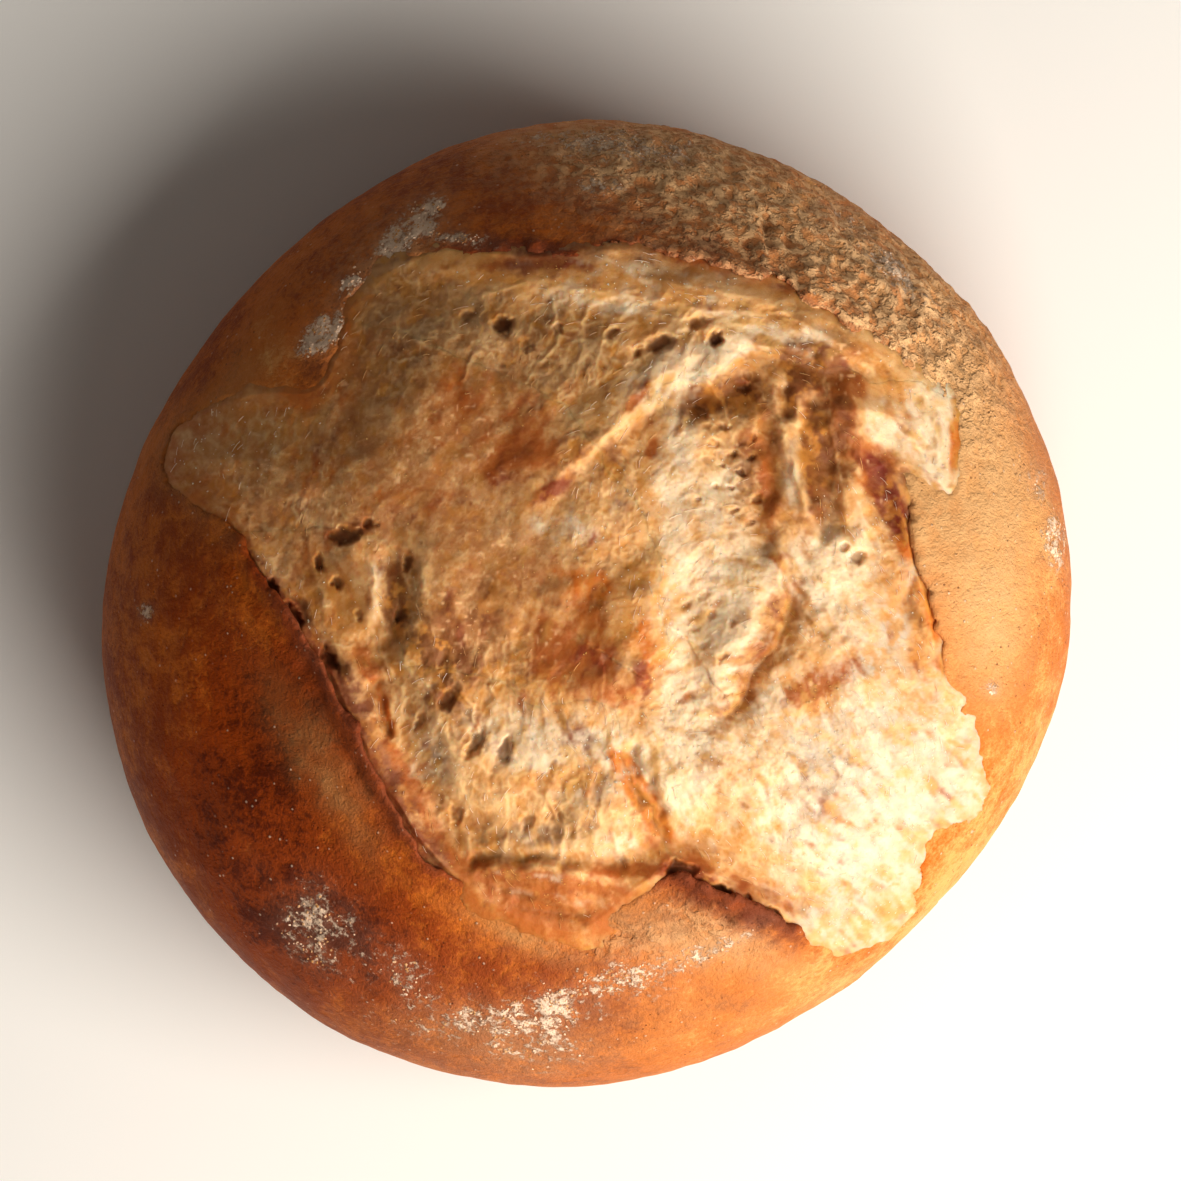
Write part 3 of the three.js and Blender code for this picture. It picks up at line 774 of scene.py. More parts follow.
def crumbShares():
    shares = {}
    for number, name in enumerate(crumbLook):
        uneven = 0.24 * mapNoise(3.6, 5, 300 + 6 * number, 0.72)
        uneven = uneven + 0.1 * np.clip(middleFibre, -2, 2) + 0.05 * np.clip(fineFibre, -2, 2)
        shares[name] = 0.95 * smoothStep(0.14, 0.86, patchMap(crumbLook[name]) + uneven)
    shares["ribbon"] = shares["ribbon"] * np.clip(0.9 + 0.6 * mapNoise(0.9, 3, 356), 0.45, 1)
    local = crumbTop - blurMap(crumbTop, 1.3)
    flecks = 0.6 * layeredNoise(mapX + 0.5 * streaks, mapY, 0 * mapX, 1.9, 4, 341, 0.75)
    flecks = flecks + 0.3 * middleFibre
    shares["fleck"] = shares["cream"] * smoothStep(0.05, 0.95, flecks) * 0.6
    shares["shine"] = shares["cream"] * smoothStep(0.0, -0.9, flecks) * 0.5
    blotch = mapNoise(2.4, 6, 346, 0.8)
    shares["freckle"] = shares["tan"] * smoothStep(0.15, 1.3, blotch) * 0.4
    hairs = smoothStep(0.8, 2.2, fineFibre) * fibreAmount
    pools = mapNoise(1.5, 4, 361, 0.7) + 0.25 * mapNoise(5, 2, 366)
    along = fibreAmount * smoothStep(0.1, -0.9, streaks)
    shares["glow"] = np.clip(0.75 * smoothStep(0.05, 0.6, pools) + 0.5 * along, 0, 0.9)
    shares["glow"] = shares["glow"] * (1 - 0.85 * shares["cream"]) * (1 - 0.45 * crumbSkin)
    shares["glow"] = shares["glow"] * (1 - 0.8 * shares["toast"])
    # walls, ropes, threads and raised spots are paler: partly the crumb's own pale strands, partly
    # painted light where thin walls catch the light
    fair = 0.9 * cellWall + 0.9 * ropeShare + 0.5 * hairs + smoothStep(0.02, 0.4, local) * 0.3
    fair = fair + 0.85 * webShare * (1 - 0.8 * crumbSkin) + 0.3 * smoothStep(-0.1, -1.0, blotch)
    fair = fair + 0.5 * fibreAmount * smoothStep(0.1, 0.9, streaks) + 0.3 * smoothStep(0.1, 0.6, fluff)
    brownNames = ("toast", "amber", "rust", "grooveShade", "ribbon", "brownShade")
    browned = np.max([shares[name] for name in brownNames], axis=0)
    shares["light"] = np.clip(fair, 0, 1) * (0.85 - 0.8 * browned) * smoothStep(-1, 1.5, ragged)
    shares["light"] = shares["light"] * (1 - 0.6 * shares["pearl"]) * (1 - 0.6 * shares["cream"])
    # painted shade: the crumb is darker in low spots and at the bottom of open cells
    inside = smoothStep(0.12, 0.75, cellDepth) * (1 - cellWall) * (1 - webShare)
    shares["hollow"] = np.clip(0.5 * smoothStep(0.0, -0.75, local) + 0.5 * inside, 0, 1)
    shares["hollow"] = shares["hollow"] * (1 - 0.45 * shares["cream"])
    # painted shade deep inside the holes
    shares["holeShade"] = smoothStep(0.35, 1.3, holeDepth)
    dots = smoothStep(0.6, 0.85, smoothNoise(mapX, mapY, 0 * mapX, 0.5, 351))
    dots = dots * smoothStep(-0.2, 0.5, smoothNoise(mapX, mapY, 0 * mapX, 5, 352))
    shares["speck"] = 0.7 * dots * crumbSkin
    soft = smoothStep(2.0, 0.9, tearLift) * np.exp(-np.maximum(ragged, 0) / (0.5 + 2.4 * softMap))
    shares["soft"] = np.clip(soft * (0.9 + 0.4 * blotch), 0, 1) * smoothStep(0.05, 0.5, softMap)
    lip = patchMap(crustLook["lip"]) * smoothStep(0.8, 2.2, tearLift)
    lip = lip * np.exp(-np.maximum(ragged, 0) / 2.6)
    shares["lip"] = np.clip(lip * (1.0 + 0.5 * blotch), 0, 1)
    return shares


crumbShare = crumbShares()
print("paints mapped")


def newObject(name, data):
    piece = bpy.data.objects.new(name, data)
    bpy.context.scene.collection.objects.link(piece)
    return piece


def meshFrom(name, points, corners, sizes):  # points in millimetres round the middle of the roll's base
    mesh = bpy.data.meshes.new(name)
    mesh.vertices.add(len(points))
    placed = points * mm + np.array((middleX, middleY, rollLow.z))
    mesh.vertices.foreach_set("co", placed.astype(np.float32).ravel())
    mesh.loops.add(len(corners))
    mesh.loops.foreach_set("vertex_index", corners.astype(np.int32))
    mesh.polygons.add(len(sizes))
    mesh.polygons.foreach_set("loop_start", (np.cumsum(sizes) - sizes).astype(np.int32))
    mesh.update(calc_edges=True)
    mesh.validate()
    return newObject(name, mesh)


def pointsOf(piece):
    points = np.zeros(len(piece.data.vertices) * 3, np.float32)
    piece.data.vertices.foreach_get("co", points)
    return (points.reshape(-1, 3) - np.array((middleX, middleY, rollLow.z))) / mm


def meshSurface(field, low, step):
    grid = openvdb.FloatGrid(4.0)
    grid.copyFromArray(np.ascontiguousarray(field, dtype=np.float32))
    points, triangles, quads = grid.convertToPolygons(0.0, 0.0)  # with no thinning, all faces are quads
    return points * np.array(step) + np.array(low), quads


def plain(piece):  # the evaluated piece as a plain mesh, its modifiers gone
    graph = bpy.context.evaluated_depsgraph_get()
    mesh = bpy.data.meshes.new_from_object(piece.evaluated_get(graph))
    old = piece.data
    piece.modifiers.clear()
    piece.data = mesh
    mesh.name = piece.name
    bpy.data.meshes.remove(old)
    return piece


def triangleCount(piece):
    piece.data.calc_loop_triangles()
    return len(piece.data.loop_triangles)


def thinned(piece, most, group=None):
    count = triangleCount(piece)
    if count > most:
        thin = piece.modifiers.new("thin", "DECIMATE")
        thin.ratio = most / count
        thin.vertex_group = group.name if group else ""
        plain(piece)
        piece.data.validate()
    piece.data.shade_smooth()
    return piece


def pointNormals(points, quads):
    corners = points[quads]
    facing = np.cross(corners[:, 2] - corners[:, 0], corners[:, 3] - corners[:, 1])
    normals = np.zeros_like(points)
    for corner in range(4):
        np.add.at(normals, quads[:, corner], facing)
    return normals / np.maximum(np.linalg.norm(normals, axis=1, keepdims=True), 1e-9)


def addValues(piece, name, values):
    attribute = piece.data.attributes.new(name, "FLOAT", "POINT")
    attribute.data.foreach_set("value", np.asarray(values, np.float32))


def smoothMax(a, b, soft):
    share = np.clip(0.5 + 0.5 * (a - b) / soft, 0, 1)
    return b + (a - b) * share + soft * share * (1 - share)


crust = {
    "voxel": 0.42,
    "reach": 57,  # the grid that the crust is shaped on, in mm
    "bottom": -1.2,
    "top": 60,
    "detailFrom": 20,  # lumps, cracks and burnt rims lie above this height
    "paintFrom": 16,  # pale, fair and scorched patches lie above this one
    "triangles": 198000,
    "undercut": 2.3,
    "underDepth": 2.2,  # how far the hollow reaches under the crumb
    "swellRise": 0.28,  # how high each kind of bump stands
    "dimpleRise": 0.12,
    "clumpRise": 0.22,
    "matteRise": 0.34,
    "lumpRise": 0.7,
    "edgeRise": 0.3,
    # lines torn or cracked into the crust: from, to, width, depth
    "cracks": [
        ((-12.6, -30.6), (-6.0, -35.2), 0.8, 1.3), ((-6.0, -35.2), (1.5, -39.1), 0.7, 1.0),
        ((20.0, 43.7), (20.4, 39.8), 0.5, 0.8), ((22.3, 41.8), (22.8, 39.6), 0.45, 0.6),
        ((40.9, 22.6), (40.7, 17.0), 0.8, 1.2), ((38.4, -6.8), (39.4, -11.0), 0.7, 1.0),
        ((43.8, -18.6), (43.6, -20.6), 0.6, 0.8), ((-1.5, -36.6), (6.0, -37.4), 0.45, 0.6),
        ((-16.6, 37.4), (-20.0, 36.0), 0.5, 0.8),
    ],
}


def shellDistance(share, rise, power, reach, tall):  # outside a rounded shell, reach wide and tall high
    whole = np.maximum((share**power + rise**power) ** (1 / power), 1e-3)
    slope = np.hypot((share / whole) ** (power - 1) / reach, (rise / whole) ** (power - 1) / tall)
    return (whole - 1) / np.maximum(slope, 1e-3)


def bodyDistance(x, y, z, lift):  # about how far outside the plain roll a point is
    reach = outlineRadius(np.arctan2(y, x))
    share = np.hypot(x, y) / reach
    widest = form["widestHeight"]
    rise = np.maximum((z - lift - widest) / form["domeRise"], 0)
    above = shellDistance(share, rise, form["domePower"], reach, form["domeRise"])
    spare = 1 - form["baseShare"]
    share = np.maximum(share - form["baseShare"], 0) / spare
    drop = np.maximum((widest - z) / widest, 0)
    below = shellDistance(share, drop, form["underPower"], spare * reach, widest)
    return np.where(z > widest, above, below)


def crustField():
    step = crust["voxel"]
    reach = crust["reach"]
    line = np.arange(-reach, reach + step, step, dtype=np.float32)
    tall = np.arange(crust["bottom"], crust["top"], step, dtype=np.float32)
    flatX, flatY = np.meshgrid(line, line, indexing="ij")

    def flat(values):
        return readMap(values, flatX, flatY).astype(np.float32)

    lift = flat(liftMap)
    top = flat(crustTop)
    edge = flat(ragged)
    floor = flat(crumbTop) - crust["underDepth"]
    skin = flat(skinMap)
    cut = crust["undercut"] * smoothStep(0.1, 0.8, readMap(tearCrisp, flatX, flatY)).astype(np.float32)
    upright = flat(domeUp)
    field = np.empty((len(line), len(line), len(tall)), np.float32)
    for k, z in enumerate(tall):
        body = bodyDistance(line[:, None], line[None, :], z, lift)
        depth = (top - z) * upright
        side = -(edge + cut * smoothStep(skin - 0.2, skin + 1.0, depth))
        hollow = smoothMax(side, (floor - z) * upright, 0.3)
        field[:, :, k] = smoothMax(body, -hollow, 0.45)
    return field, (-reach, -reach, crust["bottom"]), (step, step, step)


def makeCrust():
    field, low, step = crustField()
    points, quads = meshSurface(field, low, step)
    normals = pointNormals(points, quads)
    x, y, z = points.T

    def noise(size, layers, seed):
        return layeredNoise(x, y, z, size, layers, seed)

    outer = smoothStep(1.6, 0.4, readMap(crustTop, x, y) - z)  # 1 on the top surface by the tear
    outer = np.where(readMap(ragged, x, y) < -3.2, 1, outer)
    rough = crust["swellRise"] * noise(15, 2, 61)
    rough = rough + crust["dimpleRise"] * noise(4.4, 3, 64)
    clumps = np.clip(noise(1.5, 3, 71), -1, 1.2)
    rough = rough + crust["clumpRise"] * flourShare(x, y, z) * clumps
    bumpy = readMap(matteMap, x, y) * smoothStep(14, 26, z)
    rough = rough + crust["matteRise"] * bumpy * noise(1.8, 3, 74)
    lumpy = readMap(patchMap(crustLook["lumps"]), x, y) * (z > crust["detailFrom"])
    rough = rough + crust["lumpRise"] * lumpy * np.maximum(noise(1.9, 2, 79), -0.3)
    near = readMap(tearLift, x, y) / 3 * np.exp(readMap(np.minimum(ragged, 0), x, y) / 2.4)
    rough = rough + crust["edgeRise"] * near * noise(1.5, 2, 77)
    for start, end, width, depth in crust["cracks"]:
        away, share = lineDistance(x + 0.5 * smoothNoise(x, y, z, 1.8, 81), y, start, end)
        taper = smoothStep(0, 0.25, share) * smoothStep(1, 0.75, share)
        rough = rough - depth * (0.25 + 0.75 * taper) * bell(away, width) * (z > crust["detailFrom"])
    flat = smoothStep(0.3, 1.6, z)  # the base stays flat
    points = points + normals * (rough * outer * flat)[:, None]
    piece = meshFrom("crust", points, quads.ravel(), np.full(len(quads), 4))
    group = piece.vertex_groups.new(name="plain")  # what lies low may be thinned more
    beneath = pointsOf(piece)[:, 2] < crust["detailFrom"]
    group.add(np.flatnonzero(beneath).tolist(), 0.75, "REPLACE")
    group.add(np.flatnonzero(~beneath).tolist(), 0.35, "REPLACE")
    thinned(piece, crust["triangles"], group)
    print("crust made,", triangleCount(piece), "triangles")
    return piece


matteMap = patchMap(crustLook["matte"])
flourMap = patchMap(crustLook["flour"])


def flourShare(x, y, z):  # flour lies in broken patches
    amount = readMap(flourMap, x, y) * smoothStep(12, 24, z)
    broken = layeredNoise(x, y, z, 3.4, 3, 91, 0.7)
    return np.clip(amount * (0.85 + 0.4 * broken), 0, 1.3)


def paintCrust(piece):
    x, y, z = pointsOf(piece).T

    def look(name):
        return readMap(patchMap(crustLook[name]), x, y)

    def noise(size, layers, seed):
        return layeredNoise(x, y, z, size, layers, seed)

    edge = readMap(ragged, x, y)
    depth = readMap(crustTop, x, y) - z
    lift = readMap(tearLift, x, y)
    inner = smoothStep(0.9, 2.0, depth) * smoothStep(-3.4, -2.6, edge) * smoothStep(26.5, 28, z)
    lip = np.exp(np.minimum(edge, 0) / 1.3) * smoothStep(0.6, 1.8, lift) * look("lip")
    soft = np.exp(np.minimum(edge, 0) / 2.4) * readMap(softMap, x, y) * smoothStep(2.0, 0.9, lift)
    wander = noise(9, 3, 95)
    pale = look("pale") * (0.8 + 0.4 * noise(2.2, 2, 97))
    under = smoothStep(16, 3, z)
    scorch = look("scorch") * (0.8 + 0.6 * noise(1.6, 2, 99))
    rim = np.exp(np.minimum(edge + 0.3, 0) / 0.6) * smoothStep(0.5, 1.6, lift) * (z > crust["detailFrom"])
    bake = 0.42 + 0.42 * look("dark") + 0.5 * scorch + 0.4 * rim - 0.3 * look("orange")
    bake = bake + 0.12 * wander + 0.1 * under
    addValues(piece, "bake", np.clip(bake, 0, 1.1))
    high = z > crust["paintFrom"]
    addValues(piece, "scorch", np.clip(scorch, 0, 1.2) * high)
    addValues(piece, "fair", look("fair") * high)
    dusted = flourShare(x, y, z) + 0.35 * under * smoothStep(0.1, 0.6, wander)
    addValues(piece, "flour", np.clip(dusted, 0, 1))
    addValues(piece, "pale", np.clip(pale + 0.75 * soft, 0, 1) * high)
    addValues(piece, "lip", np.clip(lip * (1 - inner), 0, 1))
    addValues(piece, "inner", inner)
    addValues(piece, "low", smoothStep(30, 10, z) * (0.6 + 0.3 * wander))
    addValues(piece, "matte", readMap(matteMap, x, y) * smoothStep(14, 26, z))
    addValues(piece, "flakeDensity", smoothStep(0.3, 0.8, flourShare(x, y, z)) * (1 - inner))
    return piece


# The crumb is four blocks that meet along ledges and creases.
crumb = {
    "tuckedUnder": 2.4,
    "overlap": 0.9,  # how far a block reaches in under its neighbour, and how steeply it sinks there
    "sink": 0.4,
    "base": 24,
    "triangles": 198000,
    "seams": {
        "ridge": [
            (46, 21), (38.5, 25), (32, 24), (26, 28.4), (18.4, 28.6), (12.7, 26.1), (6, 22.3),
            (1.5, 17.2), (7.4, 7), (8.7, 1), (8.9, -4), (7.6, -9.4), (3, -12), (4.2, -17), (6.8, -22),
            (8.8, -26.6), (12, -38),
        ],
        "brow": [(1.5, 17.2), (-3, 22), (-8, 25.5), (-15, 28.5), (-22, 30), (-36, 35)],
        "front": [
            (3, -12), (-7, -11.4), (-11.5, -9), (-16, -7.5), (-20, -7.5), (-21.6, -3), (-21.4, 5.4),
            (-24, 8), (-32, 8.6), (-52, 8),
        ],
    },
    # the side of each seam on which a block lies, 1 to the left
    "blocks": {
        "crumbRight": {"ridge": 1},
        "crumbTop": {"ridge": -1, "brow": -1},
        "crumbLeft": {"ridge": -1, "brow": 1, "front": -1},
        "crumbFront": {"ridge": -1, "front": 1},
    },
}

seamSides = {name: pathSide(waveX, waveY, path)[0] for name, path in crumb["seams"].items()}


def filledCorners(cells):  # no two cells may touch at a corner alone
    cells = cells.copy()
    for turn in range(3):
        a, b, c, d = cells[:-1, :-1], cells[1:, :-1], cells[:-1, 1:], cells[1:, 1:]
        slant = (a & d & ~b & ~c) | (b & c & ~a & ~d)
        a |= slant
        b |= slant
        c |= slant
        d |= slant
    return cells


def baseLoops(border):  # closed loops of point numbers from pairs of points
    following = {int(start): int(end) for start, end in border}
    loops = []
    while following:
        start, end = following.popitem()
        loop = [start]
        while end != start:
            loop.append(end)
            end = following.pop(end)
        loops.append(loop)
    return loops


def cellQuads(cells):  # the points that chosen cells use, and each cell's four corners among them
    across = cells.shape[1] + 1
    i, j = np.nonzero(cells)
    start = i * across + j
    quads = np.stack([start, start + across, start + across + 1, start + 1], 1)
    used, quads = np.unique(quads, return_inverse=True)
    return used, quads.reshape(-1, 4)


def wholeCells(corners):  # cells with all four corners chosen
    return corners[:-1, :-1] & corners[1:, :-1] & corners[:-1, 1:] & corners[1:, 1:]


def blockMesh(name, cells, height):  # the mapped height on top, upright walls and a flat base
    used, quads = cellQuads(filledCorners(cells))
    top = np.stack([mapX.ravel()[used], mapY.ravel()[used], height.ravel()[used]], 1)
    starts = quads.ravel()
    ends = np.roll(quads, -1, 1).ravel()
    count = len(used)
    alone = ~np.isin(starts * count + ends, ends * count + starts)
    starts, ends = starts[alone], ends[alone]
    rim = np.unique(starts)
    bottom = top[rim] * (1, 1, 0) + (0, 0, crumb["base"])
    below = np.zeros(count, int)
    below[rim] = count + np.arange(len(rim))
    walls = np.stack([ends, starts, below[starts], below[ends]], 1)
    loops = baseLoops(np.stack([below[ends], below[starts]], 1))
    corners = np.concatenate([quads.ravel(), walls.ravel()] + [np.array(loop) for loop in loops])
    sizes = np.array([4] * (len(quads) + len(walls)) + [len(loop) for loop in loops])
    return meshFrom(name, np.concatenate([top, bottom]), corners, sizes)


def makeCrumb():
    covered = (ragged > -crumb["tuckedUnder"]) & (crumbTop > crumb["base"] + 1)
    blocks = []
    for name, sides in crumb["blocks"].items():
        beyond = np.max([-side * seamSides[seam] for seam, side in sides.items()], axis=0)
        corners = covered & (beyond < crumb["overlap"])
        sunk = np.where(beyond > 0, 0.02 + crumb["sink"] * beyond, 0)
        piece = thinned(blockMesh(name, wholeCells(corners), crumbTop - sunk), crumb["triangles"])
        blocks.append(paintCrumb(piece))
        print(name, "made,", triangleCount(piece), "triangles")
    return blocks


def paintCrumb(piece):
    x, y, z = pointsOf(piece).T
    for name, share in crumbShare.items():
        addValues(piece, name, readMap(share, x, y))
    return piece


def scatterGround():  # a plain sheet over the crumb on which its fibres are strewn
    stride = 2
    used, quads = cellQuads(wholeCells((ragged > 0.3)[::stride, ::stride]))
    points = np.stack([values[::stride, ::stride].ravel()[used] for values in (mapX, mapY, crumbTop)], 1)
    ground = meshFrom("crumbGround", points, quads.ravel(), np.full(len(quads), 4))
    x, y, z = pointsOf(ground).T
    fibrous = (1 - 0.93 * readMap(crumbSkin, x, y)) * (0.35 + 0.65 * readMap(fibreAmount, x, y))
    shallow = smoothStep(1.0, 0.2, readMap(holeDepth, x, y))
    fibrous = np.clip(fibrous + 0.9 * readMap(skinEdges, x, y), 0, 1.4)
    addValues(ground, "strandDensity", shallow * fibrous)
    addValues(ground, "bitDensity", shallow * (0.2 + 0.8 * readMap(crumbShare["cream"], x, y)))
    for name in ("toast", "tan"):
        addValues(ground, name, readMap(crumbShare[name], x, y))
    along = np.stack([readMap(grainX, x, y), readMap(grainY, x, y), 0 * x], 1)
    attribute = ground.data.attributes.new("grain", "FLOAT_VECTOR", "POINT")
    attribute.data.foreach_set("vector", along.astype(np.float32).ravel())
    return ground


class Wire:  # a node's output that takes part in Python sums
    def __init__(self, maker, socket):
        self.maker = maker
        self.socket = socket

    def sum(self, operation, first, second):
        return self.maker.wire("ShaderNodeMath", {"operation": operation}, {0: first, 1: second})

    def __add__(self, other):
        return self.sum("ADD", self, other)

    def __radd__(self, other):
        return self.sum("ADD", other, self)

    def __sub__(self, other):
        return self.sum("SUBTRACT", self, other)

    def __rsub__(self, other):
        return self.sum("SUBTRACT", other, self)

    def __mul__(self, other):
        return self.sum("MULTIPLY", self, other)

    def __rmul__(self, other):
        return self.sum("MULTIPLY", other, self)

    def clamped(self):
        return self.maker.wire("ShaderNodeClamp", {}, {"Value": self})

    def smooth(self, low, high):  # 0 below low, 1 above high
        return self.maker.wire("ShaderNodeMapRange", {"interpolation_type": "SMOOTHSTEP"},
                               {"Value": self, "From Min": low, "From Max": high})


class NodeMaker:
    def __init__(self, tree):
        self.tree = tree

    def add(self, kind, settings=None, inputs=None):
        node = self.tree.nodes.new(kind)
        for name, value in (settings or {}).items():
            setattr(node, name, value)
        for name, value in (inputs or {}).items():
            if isinstance(value, Wire):
                self.tree.links.new(value.socket, node.inputs[name])
            else:
                node.inputs[name].default_value = value
        return node

    def wire(self, kind, settings=None, inputs=None, output=0):
        return Wire(self, self.add(kind, settings, inputs).outputs[output])

    def mixed(self, share, first, second):  # colours
        return self.wire("ShaderNodeMix", {"data_type": "RGBA"}, {0: share, 6: first, 7: second}, 2)

    def place(self):
        return self.wire("ShaderNodeTexCoord", {}, {}, "Object")

    def attribute(self, name):
        return self.wire("ShaderNodeAttribute", {"attribute_name": name}, {}, "Fac")

    def noise(self, place, size, detail=2.0, rough=0.5, distortion=0.0):  # size in millimetres
        inputs = {"Vector": place, "Scale": 1 / (size * mm), "Detail": detail, "Roughness": rough,
                  "Distortion": distortion}
        return self.wire("ShaderNodeTexNoise", {}, inputs)

    def cells(self, place, size):  # distance from the middle of the nearest cell
        return self.wire("ShaderNodeTexVoronoi", {}, {"Vector": place, "Scale": 1 / (size * mm)})

    def bump(self, height, millimetres, before=None):
        inputs = {"Height": height, "Distance": millimetres * mm}
        if before:
            inputs["Normal"] = before
        return self.wire("ShaderNodeBump", {}, inputs)


def shade(red, green, blue):  # a colour given the way a paint chart does, 0 to 255
    linear = []
    for value in (red, green, blue):
        value = value / 255
        linear.append(value / 12.92 if value <= 0.04045 else ((value + 0.055) / 1.055) ** 2.4)
    return (*linear, 1)


def newMaterial(name):
    material = bpy.data.materials.new(name)
    material.use_nodes = True
    material.node_tree.nodes.clear()
    return material, NodeMaker(material.node_tree)


def finishMaterial(maker, inputs):
    shader = maker.wire("ShaderNodeBsdfPrincipled", {}, inputs)
    maker.add("ShaderNodeOutputMaterial", {}, {"Surface": shader})


crustPaint = {
    "light": shade(232, 172, 104),
    "middle": shade(204, 114, 36),
    "dark": shade(152, 66, 8),
    "burnt": shade(100, 34, 2),
    "pale": shade(206, 154, 98),
    "lip": shade(170, 98, 66),
    "flour": shade(248, 222, 198),
    "inside": shade(222, 184, 126),
    "matte": shade(246, 200, 150),
    "fair": shade(221, 174, 122),
    "scorch": shade(112, 52, 26),
    "low": shade(172, 106, 54),
}


def crustMaterial():
    material, make = newMaterial("bakedCrust")
    place = make.place()
    names = ("bake", "flour", "pale", "lip", "inner", "matte", "fair", "scorch", "low")
    bake, floury, pale, lip, inner, matte, fair, scorch, low = [make.attribute(name) for name in names]

    def painted(share, under, name):
        return make.mixed(share.clamped(), under, crustPaint[name])

    broad = make.noise(place, 9, 4, 0.6)
    mottle = make.noise(place, 2.6, 5, 0.68)
    fine = make.noise(place, 0.55, 4, 0.7)
    grit = make.noise(place, 0.24, 2, 0.6)
    lumps = make.noise(place, 1.2, 3, 0.6, 0.1).smooth(0.4, 0.6)
    level = bake + 0.36 * (broad - 0.5) + 0.8 * (mottle - 0.5) + 0.6 * (fine - 0.5)
    colour = make.mixed(level.smooth(0.0, 0.42), crustPaint["light"], crustPaint["middle"])
    colour = make.mixed(level.smooth(0.38, 0.78), colour, crustPaint["dark"])
    colour = make.mixed(level.smooth(0.8, 1.05), colour, crustPaint["burnt"])
    colour = painted(fair * (0.7 + 1.4 * (mottle - 0.5)), colour, "fair")
    colour = painted(matte * (0.32 + 0.6 * lumps + 0.8 * (fine - 0.5)), colour, "matte")
    speck = make.cells(place, 1.25).smooth(0.16, 0.08)
    speck = speck * make.noise(place, 3.2, 2, 0.5).smooth(0.45, 0.62)
    colour = make.mixed(speck * 0.55, colour, crustPaint["flour"])
    colour = painted(scorch * (0.55 + 1.9 * (fine - 0.4) + 1.3 * (mottle - 0.5)), colour, "scorch")
    pit = make.cells(place, 0.9).smooth(0.2, 0.08)
    pit = pit * make.noise(place, 4.1, 2, 0.5).smooth(0.5, 0.66)
    colour = make.mixed(pit * 0.6, colour, crustPaint["burnt"])
    colour = painted(pale * (0.45 + 1.1 * (mottle - 0.35)), colour, "pale")
    colour = painted(lip * (0.5 + 1.5 * (fine - 0.3)), colour, "lip")
    colour = painted(low * (0.4 + 1.4 * (mottle - 0.4)), colour, "low")
    colour = make.mixed(inner, colour, crustPaint["inside"])
    clump = make.noise(place, 1.0, 5, 0.72)
    dust = (floury * 0.76 + 2.3 * (clump - 0.5)).smooth(0.36, 0.7) * floury.smooth(0.02, 0.5)
    dust = (dust * (0.7 + 0.4 * grit) + 0.16 * floury).clamped()
    colour = make.mixed(dust * 0.9, colour, crustPaint["flour"])
    gloss = 0.44 + 0.34 * dust + 0.2 * matte + 0.16 * (fine - 0.5)
    normal = None
    broadBumps = mottle + matte * lumps * 0.6
    for height, rise in (broadBumps, 0.5), (fine, 0.24), (grit, 0.1), (speck - pit, 0.1), (dust, 0.12):
        normal = make.bump(height, rise, normal)
    finishMaterial(make, {"Base Color": colour, "Roughness": gloss.clamped(), "Normal": normal,
                          "Specular IOR Level": 0.08})
    return material


crumbPaint = {
    "straw": shade(218, 165, 106),
    "cream": shade(242, 222, 192),
    "pearl": shade(206, 190, 170),
    "gold": shade(218, 156, 84),
    "tan": shade(190, 132, 78),
    "toast": shade(178, 98, 34),
    "amber": shade(210, 120, 32),
    # painted shade in pits, slots and crevices, partly toasted brown
    "brownShade": shade(134, 78, 32),
    "rust": shade(142, 58, 18),
    # painted shade in the groove beside the right flap
    "grooveShade": shade(128, 38, 18),
    "ribbon": shade(128, 70, 44),
    "fleck": shade(222, 176, 98),
    "shine": shade(240, 226, 200),
    "freckle": shade(178, 108, 62),
    # pale walls and threads: partly their own colour, partly painted light
    "light": shade(236, 198, 148),
    "glow": shade(212, 148, 66),
    # painted shade for low spots and the bottom of open cells
    "hollow": shade(156, 100, 48),
    # painted shade inside deep holes
    "holeShade": shade(118, 70, 34),
    "speck": shade(248, 206, 158),
    "soft": shade(192, 114, 48),
    "lip": shade(146, 80, 42),
}

# How light soaks into the crumb, and into its finest threads.
crumbDepth = {
    "IOR": 1.4,
    "Subsurface Weight": 0.6,
    "Subsurface Radius": (1.0, 0.6, 0.3),
    "Subsurface Scale": 1.5 * mm,
}
strandDepth = {
    "IOR": 1.4,
    "Subsurface Weight": 0.5,
    "Subsurface Radius": (1.0, 0.5, 0.22),
    "Subsurface Scale": 1.0 * mm,
}


def crumbMaterial():
    material, make = newMaterial("tornCrumb")
    place = make.place()
    mottle = make.noise(place, 0.9, 4, 0.65)
    fine = make.noise(place, 0.3, 3, 0.65)
    colour = crumbPaint["straw"]
    for name in crumbShare:
        share = make.attribute(name) * (0.8 + 0.2 * mottle + 0.2 * fine)
        colour = make.mixed(share.clamped(), colour, crumbPaint[name])
    normal = make.bump(mottle, 0.06)
    normal = make.bump(fine, 0.06, normal)
    gloss = 0.58 + 0.3 * (fine - 0.5)
    finishMaterial(make, {"Base Color": colour, "Roughness": gloss.clamped(), "Normal": normal,
                          **crumbDepth})
    return material


def strandMaterial():
    material, make = newMaterial("crumbThreads")
    toasted = make.attribute("toast") + make.attribute("tan") * 0.6
    level = (toasted + 0.5 * (make.noise(make.place(), 1.6, 3) - 0.5)).clamped()
    colour = make.mixed(level.smooth(0.0, 0.5), crumbPaint["cream"], crumbPaint["straw"])
    colour = make.mixed(level.smooth(0.4, 1.1), colour, crumbPaint["gold"])
    finishMaterial(make, {"Base Color": colour, "Roughness": 0.6, **strandDepth})
    return material


def plainMaterial(name, light, dark, size, roughness):  # two shades that mingle
    material, make = newMaterial(name)
    place = make.place()
    colour = make.mixed(make.noise(place, size, 3).smooth(0.35, 0.65), light, dark)
    normal = make.bump(make.noise(place, 0.2, 2), 0.08)
    finishMaterial(make, {"Base Color": colour, "Roughness": roughness, "Normal": normal})
    return material


